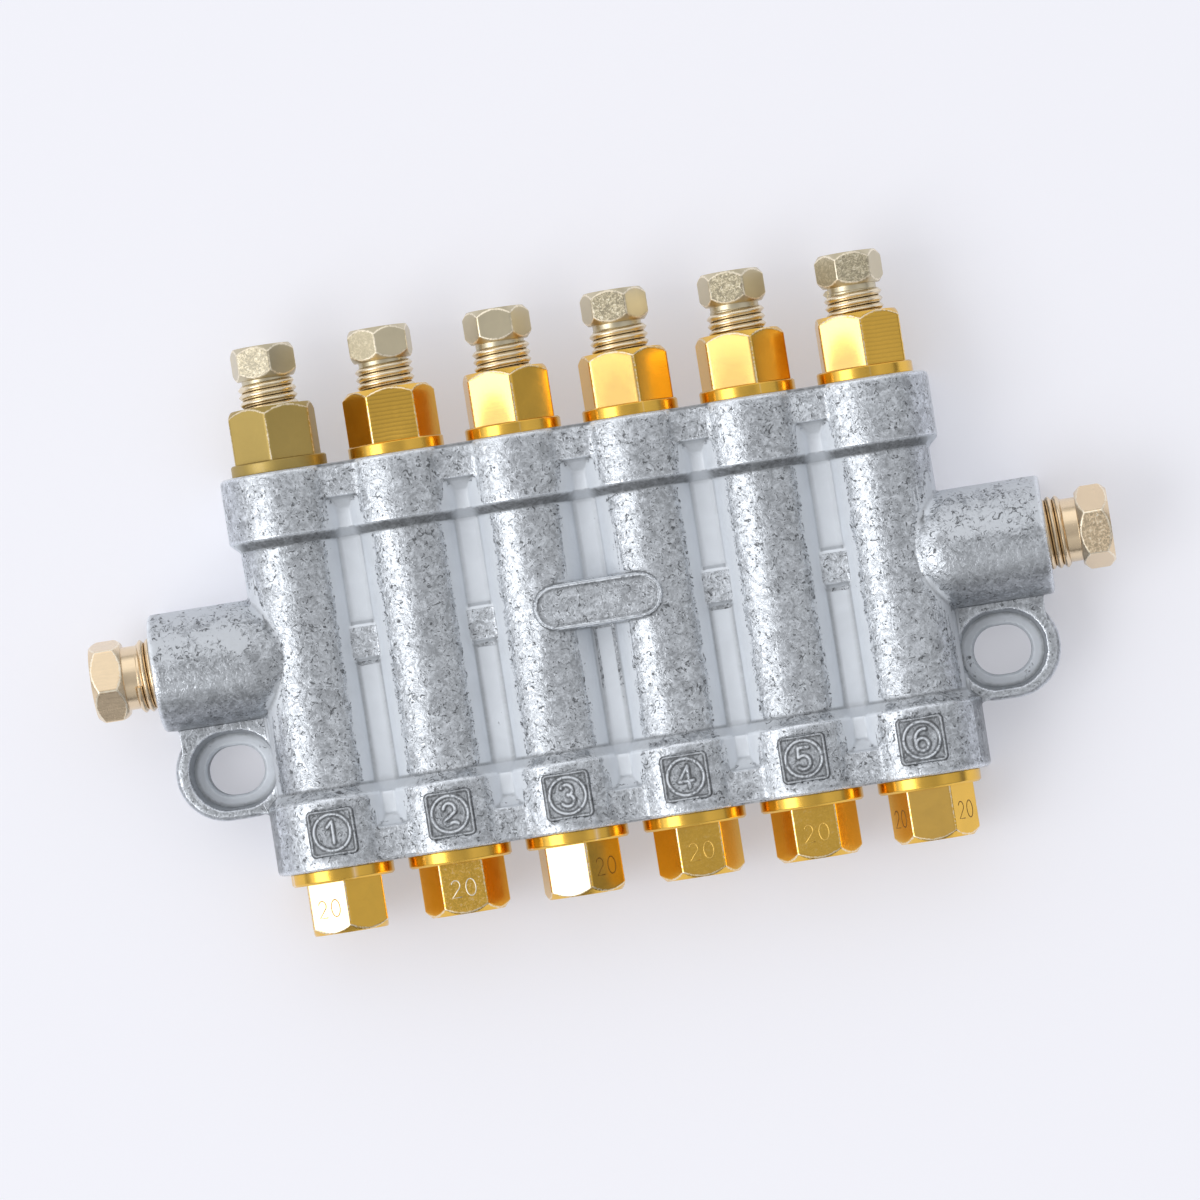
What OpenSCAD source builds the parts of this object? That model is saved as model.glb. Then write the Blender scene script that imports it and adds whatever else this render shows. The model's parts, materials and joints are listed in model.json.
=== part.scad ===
// Single-line lubrication distributor with six metering stations.
// Lying on its back: X along the row of stations, Y towards the outlets, Z off the back.
// The origin lies on the back, midway between the two mounting slots.

/* [Row of stations] */
// Number of metering stations
stations = 6; // [2:1:6]
// Distance between neighbouring stations
pitch = 16; // [15:0.5:20]

/* [Casting] */
// Length between the two faces that the fittings seat on
body_len = 54; // [50:1:64]
// Height of the barrel axes over the back
axis_h = 9; // [8.7:0.1:12]
// Radius of a barrel between the bands
barrel_r = 6.95; // [6.5:0.05:7.4]
// Radius of the barrels in the outlet band
top_band_r = 8.3; // [7.6:0.1:8.6]
// Length of the outlet band
top_band_len = 8.8; // [7:0.1:11]
// Length of the sloped shelf under the outlet band
top_shelf = 1.3; // [0.5:0.1:2]
// Radius of the barrels in the metering band
low_band_r = 8.6; // [7.6:0.1:8.6]
// Length of the metering band
low_band_len = 9.3; // [7:0.1:11]
// Length of the sloped shelf over the metering band
low_shelf = 1.5; // [0.5:0.1:2]
// Rounding of the outer casting edges
edge_round = 0.6; // [0.2:0.1:1]

/* [Valleys between the barrels] */
// Height of the web between two barrels over their axes
web_rise = 2.6; // [1.5:0.1:4]
// Height of the web inside the two bands over the axes
band_web_rise = 4.2; // [2:0.1:4.5]
// Height of the pads over the gallery, above the axes
pad_rise = 3.3; // [2.7:0.1:4]
// Length of the pads over the gallery
pad_len = 5.2; // [4:0.1:7]
// Height of the square blocks at the outlet face over the axes
top_block_rise = 6.1; // [4.6:0.1:6.5]
// Height of the square blocks at the metering face over the axes
low_block_rise = 6.4; // [4.6:0.1:6.8]
// Length of the square blocks
block_len = 4.6; // [3:0.1:6]
// Length of the ramp behind each block
ramp_len = 1.9; // [1:0.1:3]
// Step from the ramp up to the block
block_step = 0.5; // [0.2:0.1:1]
// Width of the small rib in each valley of the metering band
rib_w = 1.3; // [0.8:0.1:2]
// Length of that rib
rib_len = 2.8; // [1:0.1:4]
// Height of that rib over the axes
rib_rise = 4.8; // [4.4:0.1:5.4]

/* [Name plate, left bare] */
// Length of the raised plate between the two middle barrels
plate_len = 17.3; // [12:0.1:20]
// Width of the plate
plate_w = 6; // [4:0.1:8]
// Distance of the plate from the gallery, towards the outlets
plate_off = 0.35; // [0:0.05:1]
// Height of the plate over the barrel crests
plate_rise = 0.45; // [0.2:0.05:1]
// Width of the plate's border
plate_border = 0.5; // [0.3:0.1:1]
// Depth of the field inside the border
plate_field = 0.25; // [0.1:0.05:0.4]

/* [Main line gallery and ports] */
// Distance of the gallery from the middle of the casting, towards the outlets
gallery_off = 2.65; // [0:0.05:4]
// Diameter of the gallery
gallery_d = 4.5; // [3:0.1:5]
// Diameter of the two inlet bosses
boss_d = 16; // [15:0.1:17]
// Distance from an outermost barrel's axis to the face of its boss
boss_reach = 20.8; // [19:0.1:26]
// Distance from an outermost barrel's axis to the centre of the boss's domed end
dome_off = 8; // [6:0.1:10]

/* [Mounting ears] */
// Distance between the two mounting slots
slot_span = 105; // [105:0.5:112]
// Distance of the slots from the middle of the casting, towards the metering end
ear_drop = 11.8; // [10:0.1:14]
// Width of a slot
slot_w = 6.6; // [5:0.1:7]
// Length of a slot along the row
slot_len = 7.8; // [7.4:0.1:10]
// Width of the recess for the screw head at its mouth
recess_w = 10.8; // [9.5:0.1:11.4]
// Narrowing of the recess from its mouth to its floor
recess_draft = 0.8; // [0.2:0.1:1.2]
// Length of the recess more than its width
recess_stretch = 1.4; // [0.8:0.1:2]
// Radius of an ear's round outline
ear_r = 6.7; // [6.2:0.1:7.4]
// Length of an ear's outline more than its width
ear_stretch = 2.4; // [1.4:0.1:3]
// Height of the ears over the back
ear_h = 8.4; // [6:0.1:8.6]
// Height of the recess floor over the back
recess_floor = 4.4; // [3:0.1:5]
// Chamfer round the slot at the recess floor
slot_chamfer = 0.35; // [0.2:0.05:0.8]

/* [Threads and clearances] */
// Thread diameter of the station holes and of the inlet ports
station_thread = 10; // [9:0.5:11]
// Thread diameter of the outlet union screws
union_thread = 8; // [7.5:0.5:8.5]
// Depth of a thread
thread_depth = 0.55; // [0.4:0.05:0.7]
// Height of the chamfered crown of a hexagon
hex_crown = 1.1; // [0.6:0.1:1.4]
// Clearance all round between parts that slide or screw together
running = 0.05; // [0.03:0.01:0.08]
// Gap left between a seat and the part that rests near it
seat_gap = 0.1; // [0.05:0.01:0.2]

/* [Outlet fittings] */
// Diameter of the collar under the hexagon
fitting_collar_d = 13; // [12.4:0.1:14]
// Thickness of that collar
fitting_collar_t = 1.65; // [1:0.05:2.5]
// Size across the flats of the fitting
fitting_af = 11; // [10.4:0.1:12]
// Height of the fitting over the casting
fitting_h = 8.9; // [8.5:0.1:10]
// Length of the threaded shank in the casting
shank_len = 9.5; // [7:0.1:11]
// Turn of each fitting's upper flat away from the front, seen in the row
fitting_turn = [26, 5, -21, -14, -15, -25]; // [-30:1:30]

/* [Outlet union screws] */
// Outer diameter of the outlet tube
outlet_tube_d = 4; // [3.5:0.1:4.2]
// Size across the flats of the union screw
union_af = 8; // [7.6:0.1:9]
// Height of its hexagon
union_hex_h = 4.45; // [3:0.05:5]
// Length of the neck and thread that stands out of the fitting
union_out = 3.85; // [3:0.05:6]
// Length of the neck without thread
union_neck = 0.8; // [0.5:0.1:2]
// Length of the screw inside the fitting
union_in = 4.5; // [4.3:0.1:5]
// Turn of each union screw's upper flat
union_turn = [-27, 27, -3, -9, 6, 7]; // [-30:1:30]

/* [Metering nipples] */
// Diameter of the collar under the hexagon
nipple_collar_d = 14; // [12.4:0.1:14.6]
// Thickness of that collar
nipple_collar_t = 1.75; // [1:0.05:2.5]
// Size across the flats of the nipple
nipple_af = 10.2; // [9.5:0.1:12]
// Height of the nipple over the casting
nipple_h = 8.7; // [7:0.1:10]
// Turn of each nipple's upper flat
nipple_turn = [-26, 1, -18, 5, 1, -3]; // [-30:1:30]

/* [Inlet union screws] */
// Outer diameter of the main line tube
inlet_tube_d = 6; // [5:0.1:6.2]
// Size across the flats of the inlet screw
inlet_af = 10; // [9:0.1:11]
// Height of its hexagon
inlet_hex_h = 4.35; // [3:0.05:5]
// Length of the neck without thread
inlet_neck = 2; // [1:0.1:3]
// Length of the left screw that stands out of its boss
inlet_out = 4.15; // [3:0.05:6]
// How much further the right screw stands out
inlet_slack = 0.2; // [0:0.1:1.5]
// Length of the left screw inside its boss
inlet_in = 6.5; // [6.4:0.1:7]
// Turn of each inlet screw's upper flat, left and right
inlet_turn = [16, -10]; // [-30:1:30]

/* [Metering parts inside] */
// Diameter of the bore through each barrel
station_bore = 8.5; // [8:0.1:8.7]
// Diameter of the metering chamber
chamber_d = 7; // [6.5:0.1:7.2]
// Stroke of the metering piston, which sets the dose
stroke = 5.2; // [3:0.1:6]
// Length of the metering piston
piston_len = 6; // [4:0.1:8]
// Travel of the valve collar
valve_travel = 1.2; // [0.8:0.1:1.6]
// Height of the valve collar
valve_h = 3; // [2.4:0.1:3.6]
// Diameter of the outlet tube that the valve collar slides on
stem_d = 3; // [2.6:0.1:3.4]
// Wire diameter of the return spring
spring_wire = 0.8; // [0.5:0.05:0.9]
// Turns of the return spring
spring_turns = 8; // [6:1:9]
// Cord diameter of the sealing rings
seal_cord = 0.9; // [0.7:0.05:1.1]

/* [Hidden] */
STATION = [for (i = [1:stations]) i];
$fn = 96;

// Colours of the bare metals and of the rubber
zinc = [0.70, 0.72, 0.74];
yellow_brass = [0.86, 0.66, 0.22];
pale_brass = [0.80, 0.72, 0.50];
rose_brass = [0.84, 0.70, 0.50];
steel = [0.60, 0.61, 0.63];
rubber = [0.10, 0.10, 0.11];

// A small overlap, so that no cut ends on a face
eps = 0.01;

// Places along a station's axis, from the middle of the casting, outlets positive
half = body_len / 2;
row_half = (stations - 1) * pitch / 2;
boss_face = row_half + boss_reach;
screw_r = station_thread / 2;
bore_r = station_bore / 2;
seal_seat = seal_cord + running;
seal_r = screw_r + seal_cord / 2;
pilot_len = 1.5;
bore_relief = 0.2;
guide_start = 0.2;
socket_taper = 0.1;

// Outlet side: the fitting's mouth, tube seat and nose
mouth = half + fitting_h;
union_r = union_thread / 2;
union_end = mouth - union_in;
ferrule_wall = 0.85;
ferrule_flare = 0.05;
ferrule_seat = half + 1.45;
tube_stop = half - 2.5;
valve_top = gallery_off - gallery_d / 2 - 0.15;
nose_end = valve_top + seat_gap;
nose_start = gallery_off + gallery_d / 2 + 0.5;
nose_r = stem_d / 2 + 1.25;

// Metering side: the sleeve, the chamber, the piston and the spring
valve_low = valve_top - valve_h;
sleeve_top = valve_low - valve_travel - running;
stem_end = sleeve_top - 1;
stem_bore_r = 0.75;
stem_port_d = 1;
stem_port = valve_low - 0.1;
piston_top = stem_end - seat_gap;
piston_low = piston_top - piston_len;
chamber_stop = piston_low - stroke - running;
chamber_floor = -half - 4;
spring_r = chamber_d / 2 - 0.35 - spring_wire / 2;
guide_r = spring_r - spring_wire / 2 - 0.15;
guide_len = 3;

// Inlet side, from the middle of the row
port_depth = 9.7;
port_seat = boss_face - port_depth;
inlet_tube_r = inlet_tube_d / 2 + running;
outlet_tube_r = outlet_tube_d / 2 + running;

function station_x(i) = (i - 1) * pitch - row_half;
function hex_corner(af) = af / sqrt(3);

// Stands a station's parts along +Y on the axis of station i
module at_station(i) {
    translate([station_x(i), ear_drop, axis_h])
        rotate([-90, 0, 0])
            children();
}

// Stands the parts of one inlet along the gallery, side -1 left and 1 right
module at_inlet(side) {
    translate([0, ear_drop + gallery_off, axis_h])
        rotate([0, 90 * side, 0])
            children();
}

// Turned part: a half outline of radius and length, spun round the axis
module turned() {
    rotate_extrude()
        children();
}

// Turned form whose upper half is round and whose lower half runs straight to the back
module round_topped() {
    mirror([0, 0, 1])
        rotate([-90, 0, 0])
            rotate_extrude(angle = 180)
                children();
    translate([0, 0, -axis_h])
        linear_extrude(axis_h) {
            children();
            mirror([1, 0])
                children();
        }
}

// Half outline of one band, its outer face at zero and its shelf away from it
module band_outline(r, len, shelf) {
    translate([0, -len])
        square([r - edge_round, len]);
    translate([0, -len])
        square([r, len - edge_round]);
    translate([r - edge_round, -edge_round])
        intersection() {
            circle(edge_round);
            square(edge_round);
        }
    polygon([[0, -len], [r, -len], [barrel_r, -len - shelf], [0, -len - shelf]]);
}

// Half outline of one barrel with both bands
module barrel_outline() {
    translate([0, edge_round - half])
        square([barrel_r, body_len - 2 * edge_round]);
    translate([0, half])
        band_outline(top_band_r, top_band_len, top_shelf);
    translate([0, -half])
        mirror([0, 1])
            band_outline(low_band_r, low_band_len, low_shelf);
}

// Side view of what fills the valleys: blocks, ramps, webs and the gallery pads
module valley_profile() {
    low_in = -half + low_band_len + low_shelf;
    top_in = half - top_band_len - top_shelf;
    pad_a = gallery_off - pad_len / 2;
    pad_b = gallery_off + pad_len / 2;
    cut = 0.4;
    polygon([
        [-half, -axis_h],
        [-half, low_block_rise - cut],
        [cut - half, low_block_rise],
        [block_len - half, low_block_rise],
        [block_len - half, low_block_rise - block_step],
        [block_len + ramp_len - half, band_web_rise],
        [low_in - low_shelf, band_web_rise],
        [low_in, web_rise],
        [pad_a, web_rise],
        [pad_a, pad_rise - cut],
        [pad_a + cut, pad_rise],
        [pad_b - cut, pad_rise],
        [pad_b, pad_rise - cut],
        [pad_b, web_rise],
        [top_in, web_rise],
        [top_in + top_shelf, band_web_rise],
        [half - block_len - ramp_len, band_web_rise],
        [half - block_len, top_block_rise - block_step],
        [half - block_len, top_block_rise],
        [half - cut, top_block_rise],
        [half, top_block_rise - cut],
        [half, -axis_h]
    ]);
}

// Slot outline with round ends, its length along the row
module slot_outline(len, w) {
    translate([w / 2 - len / 2, 0])
        circle(w / 2);
    translate([len / 2 - w / 2, 0])
        circle(w / 2);
    square([len - w, w], center = true);
}

// Slot that widens from its lower to its upper end, made of two cones and a wedge
module flared_slot(stretch, w_low, w_up, h) {
    for (side = [-1, 1])
        translate([side * stretch / 2, 0, 0])
            cylinder(d1 = w_low, d2 = w_up, h = h);
    translate([-stretch / 2, 0, 0])
        rotate([90, 0, 90])
            linear_extrude(stretch)
                polygon([[-w_low / 2, 0], [w_low / 2, 0], [w_up / 2, h], [-w_up / 2, h]]);
}

// One mounting ear, side -1 left and 1 right, before its slot is cut
module ear(side) {
    rim = 0.5;
    reach = slot_span / 2;
    inner = row_half + barrel_r - 1;
    neck_out = reach + ear_r + ear_stretch / 2 - 1.4;
    band_low = half - low_band_len;
    translate([side * reach, 0, 0])
        linear_extrude(ear_h - rim)
            slot_outline(2 * ear_r + ear_stretch, 2 * ear_r);
    translate([side * reach, 0, ear_h - rim])
        flared_slot(ear_stretch, 2 * ear_r, 2 * (ear_r - rim), rim);
    linear_extrude(ear_h)
        polygon([
            [side * inner, ear_drop - band_low - 1.5],
            [side * (reach - 2), -ear_r + rim],
            [side * reach, 0],
            [side * neck_out, 0],
            [side * neck_out, ear_drop + gallery_off - boss_d / 2 + 1],
            [side * inner, ear_drop + gallery_off - boss_d / 2 + 1]
        ]);
}

// What is cut out of one mounting ear: the recess for the head and the slot
module ear_cut(side) {
    translate([side * slot_span / 2, 0, 0]) {
        translate([0, 0, -eps])
            linear_extrude(ear_h)
                slot_outline(slot_len, slot_w);
        translate([0, 0, recess_floor - slot_chamfer])
            flared_slot(slot_len - slot_w, slot_w, slot_w + 2 * slot_chamfer, slot_chamfer + eps);
        translate([0, 0, recess_floor])
            flared_slot(recess_stretch, recess_w - recess_draft, recess_w, ear_h - recess_floor + eps);
    }
}

// One inlet boss with its domed inner end, the outer face rounded off
module inlet_boss(side) {
    r = boss_d / 2;
    len = boss_reach - dome_off;
    translate([side * (row_half + dome_off), ear_drop + gallery_off, axis_h])
        rotate([0, 0, -90 * side])
            round_topped() {
                intersection() {
                    circle(r);
                    translate([0, -r])
                        square(2 * r);
                }
                square([r, len - edge_round]);
                square([r - edge_round, len]);
                translate([r - edge_round, len - edge_round])
                    intersection() {
                        circle(edge_round);
                        square(edge_round);
                    }
            }
}

// Threaded port with a cone for the ferrule and the socket for the main line tube
module inlet_port() {
    cone = ferrule_wall + seat_gap;
    turned()
        polygon([
            [0, row_half - pitch / 2],
            [gallery_d / 2, row_half - pitch / 2],
            [gallery_d / 2, port_seat - cone - 3],
            [inlet_tube_r, port_seat - cone - 3],
            [inlet_tube_r + socket_taper, port_seat - cone],
            [inlet_tube_r + cone, port_seat],
            [screw_r, port_seat],
            [screw_r, boss_face - 0.4],
            [screw_r + 0.4, boss_face],
            [screw_r + 0.4, boss_face + 1],
            [0, boss_face + 1]
        ]);
}

// Bore of one station with the threaded holes and the seats of the sealing rings
module station_bores() {
    turned()
        polygon([
            [0, -half - 1],
            [screw_r + seal_cord + running, -half - 1],
            [screw_r + seal_cord + running, -half + seal_seat],
            [screw_r, -half + seal_seat],
            [screw_r, -half + shank_len + 0.5],
            [bore_r, -half + shank_len + 0.5],
            [bore_r, half - shank_len - 0.5],
            [screw_r, half - shank_len - 0.5],
            [screw_r, half - seal_seat],
            [screw_r + seal_cord + running, half - seal_seat],
            [screw_r + seal_cord + running, half + 1],
            [0, half + 1]
        ]);
}

// Raised plate across the two middle barrels, with a border round its bare field
module name_plate() {
    top = barrel_r + plate_rise;
    translate([0, ear_drop + gallery_off + plate_off, axis_h])
        difference() {
            linear_extrude(top)
                slot_outline(plate_len, plate_w);
            translate([0, 0, top - plate_field])
                linear_extrude(plate_field + 1)
                    slot_outline(plate_len - 2 * plate_border, plate_w - 2 * plate_border);
        }
}

module casting() {
    color(zinc)
    difference() {
        union() {
            for (i = STATION)
                translate([station_x(i), ear_drop, axis_h])
                    round_topped()
                        barrel_outline();
            translate([-row_half, ear_drop, axis_h])
                rotate([90, 0, 90])
                    linear_extrude(2 * row_half)
                        valley_profile();
            for (i = [1:stations - 1])
                translate([station_x(i) + pitch / 2, ear_drop - half + low_band_len, axis_h])
                    translate([-rib_w / 2, -rib_len, 0])
                        cube([rib_w, rib_len, rib_rise]);
            name_plate();
            for (side = [-1, 1]) {
                inlet_boss(side);
                ear(side);
            }
        }
        for (i = STATION)
            at_station(i)
                station_bores();
        at_inlet(1)
            translate([0, 0, -row_half - 1])
                cylinder(d = gallery_d, h = 2 * row_half + 2);
        for (side = [-1, 1]) {
            at_inlet(side)
                inlet_port();
            ear_cut(side);
        }
    }
}

// Hexagon with its corners chamfered at one or both ends, standing on zero
module hexagon(af, h, low_cut, up_cut) {
    corner = hex_corner(af) + 0.1;
    flat = af / 2;
    intersection() {
        cylinder(r = hex_corner(af), h = h, $fn = 6);
        turned()
            polygon([
                [0, 0],
                [low_cut ? flat - 0.15 : corner, 0],
                [corner, low_cut ? hex_crown : 0],
                [corner, up_cut ? h - hex_crown : h],
                [up_cut ? flat - 0.15 : corner, h],
                [0, h]
            ]);
    }
}

// Fitting that screws in over a station and carries the outlet tube
module outlet_fitting(i) {
    hex_low = half + fitting_collar_t;
    stem_r = stem_d / 2;
    cone = ferrule_wall + seat_gap;
    color(yellow_brass)
    at_station(i)
        difference() {
            union() {
                turned()
                    polygon([
                        [0, stem_end],
                        [stem_r - 0.2, stem_end],
                        [stem_r, stem_end + 0.2],
                        [stem_r, nose_end],
                        [nose_r, nose_end],
                        [nose_r, nose_start],
                        [bore_r - running, nose_start + 0.8],
                        [bore_r - running, half - shank_len],
                        [screw_r - running, half - shank_len + 0.6],
                        [screw_r - running, half],
                        [fitting_collar_d / 2, half],
                        [fitting_collar_d / 2, hex_low - 0.3],
                        [fitting_collar_d / 2 - 0.3, hex_low],
                        [fitting_af / 2 - 0.5, hex_low],
                        [fitting_af / 2 - 0.5, hex_low + 1],
                        [0, hex_low + 1]
                    ]);
                translate([0, 0, hex_low])
                    rotate([0, 0, fitting_turn[i - 1]])
                        hexagon(fitting_af, fitting_h - fitting_collar_t, true, true);
            }
            turned()
                polygon([
                    [0, stem_port - 0.8],
                    [stem_bore_r, stem_port - 0.8],
                    [stem_bore_r, nose_start],
                    [1.2, nose_start + 1],
                    [1.2, tube_stop],
                    [outlet_tube_r, tube_stop],
                    [outlet_tube_r + socket_taper, ferrule_seat - cone],
                    [outlet_tube_r + cone, ferrule_seat],
                    [union_r, ferrule_seat],
                    [union_r, mouth - 0.3],
                    [union_r + 0.3, mouth],
                    [union_r + 0.3, mouth + 1],
                    [0, mouth + 1]
                ]);
            translate([0, 0, stem_port])
                rotate([90, 0, 0])
                    cylinder(d = stem_port_d, h = stem_d + 1, center = true);
        }
}

// Hollow union screw: hexagon outside, plain neck, thread core and full-width end
module union_screw(thread_r, tube_r, len_in, len_out, neck, af, hex_h, turn) {
    core = thread_r - running - thread_depth;
    cone = ferrule_wall + seat_gap;
    difference() {
        union() {
            turned()
                polygon([
                    [0, -len_in],
                    [thread_r - running - 0.2, -len_in],
                    [thread_r - running, 0.2 - len_in],
                    [thread_r - running, pilot_len - len_in],
                    [core, pilot_len - len_in + 0.3],
                    [core, len_out - neck],
                    [core - 0.1, len_out - neck + 0.1],
                    [core - 0.1, len_out + 1],
                    [0, len_out + 1]
                ]);
            translate([0, 0, len_out])
                rotate([0, 0, turn])
                    hexagon(af, hex_h, true, true);
        }
        turned()
            polygon([
                [0, -len_in - 1],
                [tube_r + cone, -len_in - 1],
                [tube_r + cone, -len_in],
                [tube_r + bore_relief, cone - bore_relief - len_in],
                [tube_r + bore_relief, guide_start],
                [tube_r, guide_start + 0.1],
                [tube_r, len_out + hex_h - 0.4],
                [tube_r + 0.4, len_out + hex_h],
                [tube_r + 0.4, len_out + hex_h + 1],
                [0, len_out + hex_h + 1]
            ]);
    }
}

// Double cone that the union screw presses between its nose and the seat, bell-mouthed for the tube
module ferrule(tube_r, from, to) {
    wall = ferrule_wall;
    slope = wall - 0.15;
    turned()
        polygon([
            [tube_r + ferrule_flare, from],
            [tube_r + wall - slope, from],
            [tube_r + wall, from + slope],
            [tube_r + wall, to - slope],
            [tube_r + wall - slope, to],
            [tube_r + ferrule_flare, to],
            [tube_r, (from + to) / 2]
        ]);
}

module outlet_union(i) {
    color(pale_brass)
    at_station(i)
        translate([0, 0, mouth])
            union_screw(union_r, outlet_tube_r, union_in, union_out, union_neck,
                        union_af, union_hex_h, union_turn[i - 1]);
}

module outlet_ferrule(i) {
    color(pale_brass)
    at_station(i)
        ferrule(outlet_tube_r, ferrule_seat - ferrule_wall + 0.15, union_end + ferrule_wall - 0.15);
}

// Rubber collar that shuttles between the nose of the fitting and the metering sleeve
module valve_collar(i) {
    bore = stem_d / 2 + running;
    lip = bore_r - running;
    color(rubber)
    at_station(i)
        turned()
            polygon([
                [bore, valve_low + 0.5],
                [bore, valve_top],
                [nose_r, valve_top],
                [nose_r + 0.5, valve_top - 0.6],
                [lip, valve_low + 0.9],
                [lip, valve_low],
                [lip - 0.7, valve_low],
                [nose_r, valve_low + 1.1],
                [bore + 0.8, valve_low + 0.5]
            ]);
}

// Metering piston with the stub that guides its spring
module metering_piston(i) {
    r = chamber_d / 2 - running;
    color(steel)
    at_station(i)
        turned()
            polygon([
                [0, piston_low - guide_len],
                [guide_r - 0.3, piston_low - guide_len],
                [guide_r, piston_low - guide_len + 0.3],
                [guide_r, piston_low],
                [r, piston_low],
                [r, piston_low + 1.5],
                [r - 0.3, piston_low + 1.7],
                [r - 0.3, piston_low + 2.3],
                [r, piston_low + 2.5],
                [r, piston_top - 0.3],
                [r - 0.3, piston_top],
                [0, piston_top]
            ]);
}

// Coil of the spring: its ends lie closer together than its middle, as on a closed spring
function coil_at(u) = u - sin(360 * u) / (2 * PI) * 0.35;

module piston_spring(i) {
    sides = 6;
    per_turn = 12;
    steps = spring_turns * per_turn;
    wire_r = spring_wire / 2;
    low = chamber_floor + wire_r + 0.02;
    up = piston_low - wire_r - 0.02;
    rings = [for (k = [0:steps]) let (
        u = k / steps,
        a = 360 * spring_turns * u,
        z = low + (up - low) * coil_at(u)
    ) [for (j = [0:sides - 1]) let (
        b = 360 * j / sides,
        r = spring_r + wire_r * cos(b)
    ) [r * cos(a), r * sin(a), z + wire_r * sin(b)]]];
    points = [for (ring = rings) for (p = ring) p];
    walls = [for (k = [0:steps - 1]) for (j = [0:sides - 1]) let (
        a = k * sides + j,
        b = k * sides + (j + 1) % sides
    ) [a, a + sides, b + sides, b]];
    ends = [[for (j = [0:sides - 1]) j], [for (j = [sides - 1:-1:0]) steps * sides + j]];
    color(steel)
    at_station(i)
        polyhedron(points, concat(walls, ends));
}

// Nipple that closes a station and holds its metering chamber
module metering_nipple(i) {
    hex_top = -half - nipple_collar_t;
    color(yellow_brass)
    at_station(i)
        difference() {
            union() {
                turned()
                    polygon([
                        [0, hex_top - 1],
                        [nipple_af / 2 - 0.5, hex_top - 1],
                        [nipple_af / 2 - 0.5, hex_top],
                        [nipple_collar_d / 2 - 0.3, hex_top],
                        [nipple_collar_d / 2, hex_top + 0.3],
                        [nipple_collar_d / 2, -half],
                        [screw_r - running, -half],
                        [screw_r - running, shank_len - half - 0.6],
                        [bore_r - running, shank_len - half],
                        [bore_r - running, sleeve_top],
                        [0, sleeve_top]
                    ]);
                translate([0, 0, -half - nipple_h])
                    rotate([0, 0, nipple_turn[i - 1]])
                        hexagon(nipple_af, nipple_h - nipple_collar_t, true, false);
            }
            turned()
                polygon([
                    [0, chamber_floor],
                    [chamber_d / 2 - 0.2, chamber_floor],
                    [chamber_d / 2 - 0.2, chamber_stop],
                    [chamber_d / 2, chamber_stop],
                    [chamber_d / 2, sleeve_top + 1],
                    [0, sleeve_top + 1]
                ]);
        }
}

// Sealing ring that lies in its seat round a shank, at one face of the casting
module sealing_ring(at) {
    translate([0, 0, at])
        turned()
            translate([seal_r, 0])
                circle(seal_cord / 2);
}

module outlet_seal(i) {
    color(rubber)
    at_station(i)
        sealing_ring(half - seal_seat / 2);
}

module nipple_seal(i) {
    color(rubber)
    at_station(i)
        sealing_ring(seal_seat / 2 - half);
}

// Screw of one inlet, the right one turned out a little further
module inlet_union(side) {
    slack = side > 0 ? inlet_slack : 0;
    color(rose_brass)
    at_inlet(side)
        translate([0, 0, boss_face + slack])
            union_screw(screw_r, inlet_tube_r, inlet_in, inlet_out, inlet_neck,
                        inlet_af, inlet_hex_h, 30 - side * inlet_turn[side > 0 ? 1 : 0]);
}

module inlet_ferrule(side) {
    slack = side > 0 ? inlet_slack : 0;
    rest = port_seat - ferrule_wall + 0.15;
    color(rose_brass)
    at_inlet(side)
        translate([0, 0, slack])
            ferrule(inlet_tube_r, rest, boss_face - inlet_in + ferrule_wall - 0.15);
}

casting();
for (i = STATION) {
    outlet_fitting(i);
    outlet_seal(i);
    outlet_ferrule(i);
    outlet_union(i);
    valve_collar(i);
    metering_piston(i);
    piston_spring(i);
    metering_nipple(i);
    nipple_seal(i);
}
inlet_ferrule(-1);  // inlet_ferrule_left
inlet_union(-1);  // inlet_union_left
inlet_ferrule(1);  // inlet_ferrule_right
inlet_union(1);  // inlet_union_right
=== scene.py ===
"""Finished look of a six-station lubrication distributor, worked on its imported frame."""

import json
import math

import bmesh
import bpy
import numpy as np
from mathutils import Matrix, Vector
from mathutils.kdtree import KDTree


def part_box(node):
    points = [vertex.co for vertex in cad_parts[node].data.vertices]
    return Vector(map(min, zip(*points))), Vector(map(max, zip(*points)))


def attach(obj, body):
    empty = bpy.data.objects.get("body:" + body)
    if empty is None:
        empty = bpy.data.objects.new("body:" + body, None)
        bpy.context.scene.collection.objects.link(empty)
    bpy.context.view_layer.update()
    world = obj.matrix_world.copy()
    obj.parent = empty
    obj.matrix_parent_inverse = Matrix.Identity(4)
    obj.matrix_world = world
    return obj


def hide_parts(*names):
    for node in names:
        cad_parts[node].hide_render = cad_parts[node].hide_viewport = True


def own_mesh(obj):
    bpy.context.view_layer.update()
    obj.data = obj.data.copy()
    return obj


bl_info = {
    "name": "Lubrication Distributor Finish",
    "version": (1, 0, 0),
    "blender": (4, 5, 0),
    "location": "3D View > Sidebar > Distributor",
    "description": "Dresses a lubrication distributor with its casting skin, brass and marks",
    "category": "Object",
}

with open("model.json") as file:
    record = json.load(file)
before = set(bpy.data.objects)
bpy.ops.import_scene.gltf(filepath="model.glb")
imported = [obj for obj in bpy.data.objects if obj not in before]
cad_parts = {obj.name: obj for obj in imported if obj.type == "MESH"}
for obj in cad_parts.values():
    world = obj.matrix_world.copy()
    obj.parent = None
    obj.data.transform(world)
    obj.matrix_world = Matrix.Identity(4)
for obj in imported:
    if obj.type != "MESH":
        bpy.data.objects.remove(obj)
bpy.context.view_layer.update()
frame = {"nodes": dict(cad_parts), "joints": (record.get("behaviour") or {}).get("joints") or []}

# All sizes in this file are in millimetres, and Blender's are in metres
MM = 0.001


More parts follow.
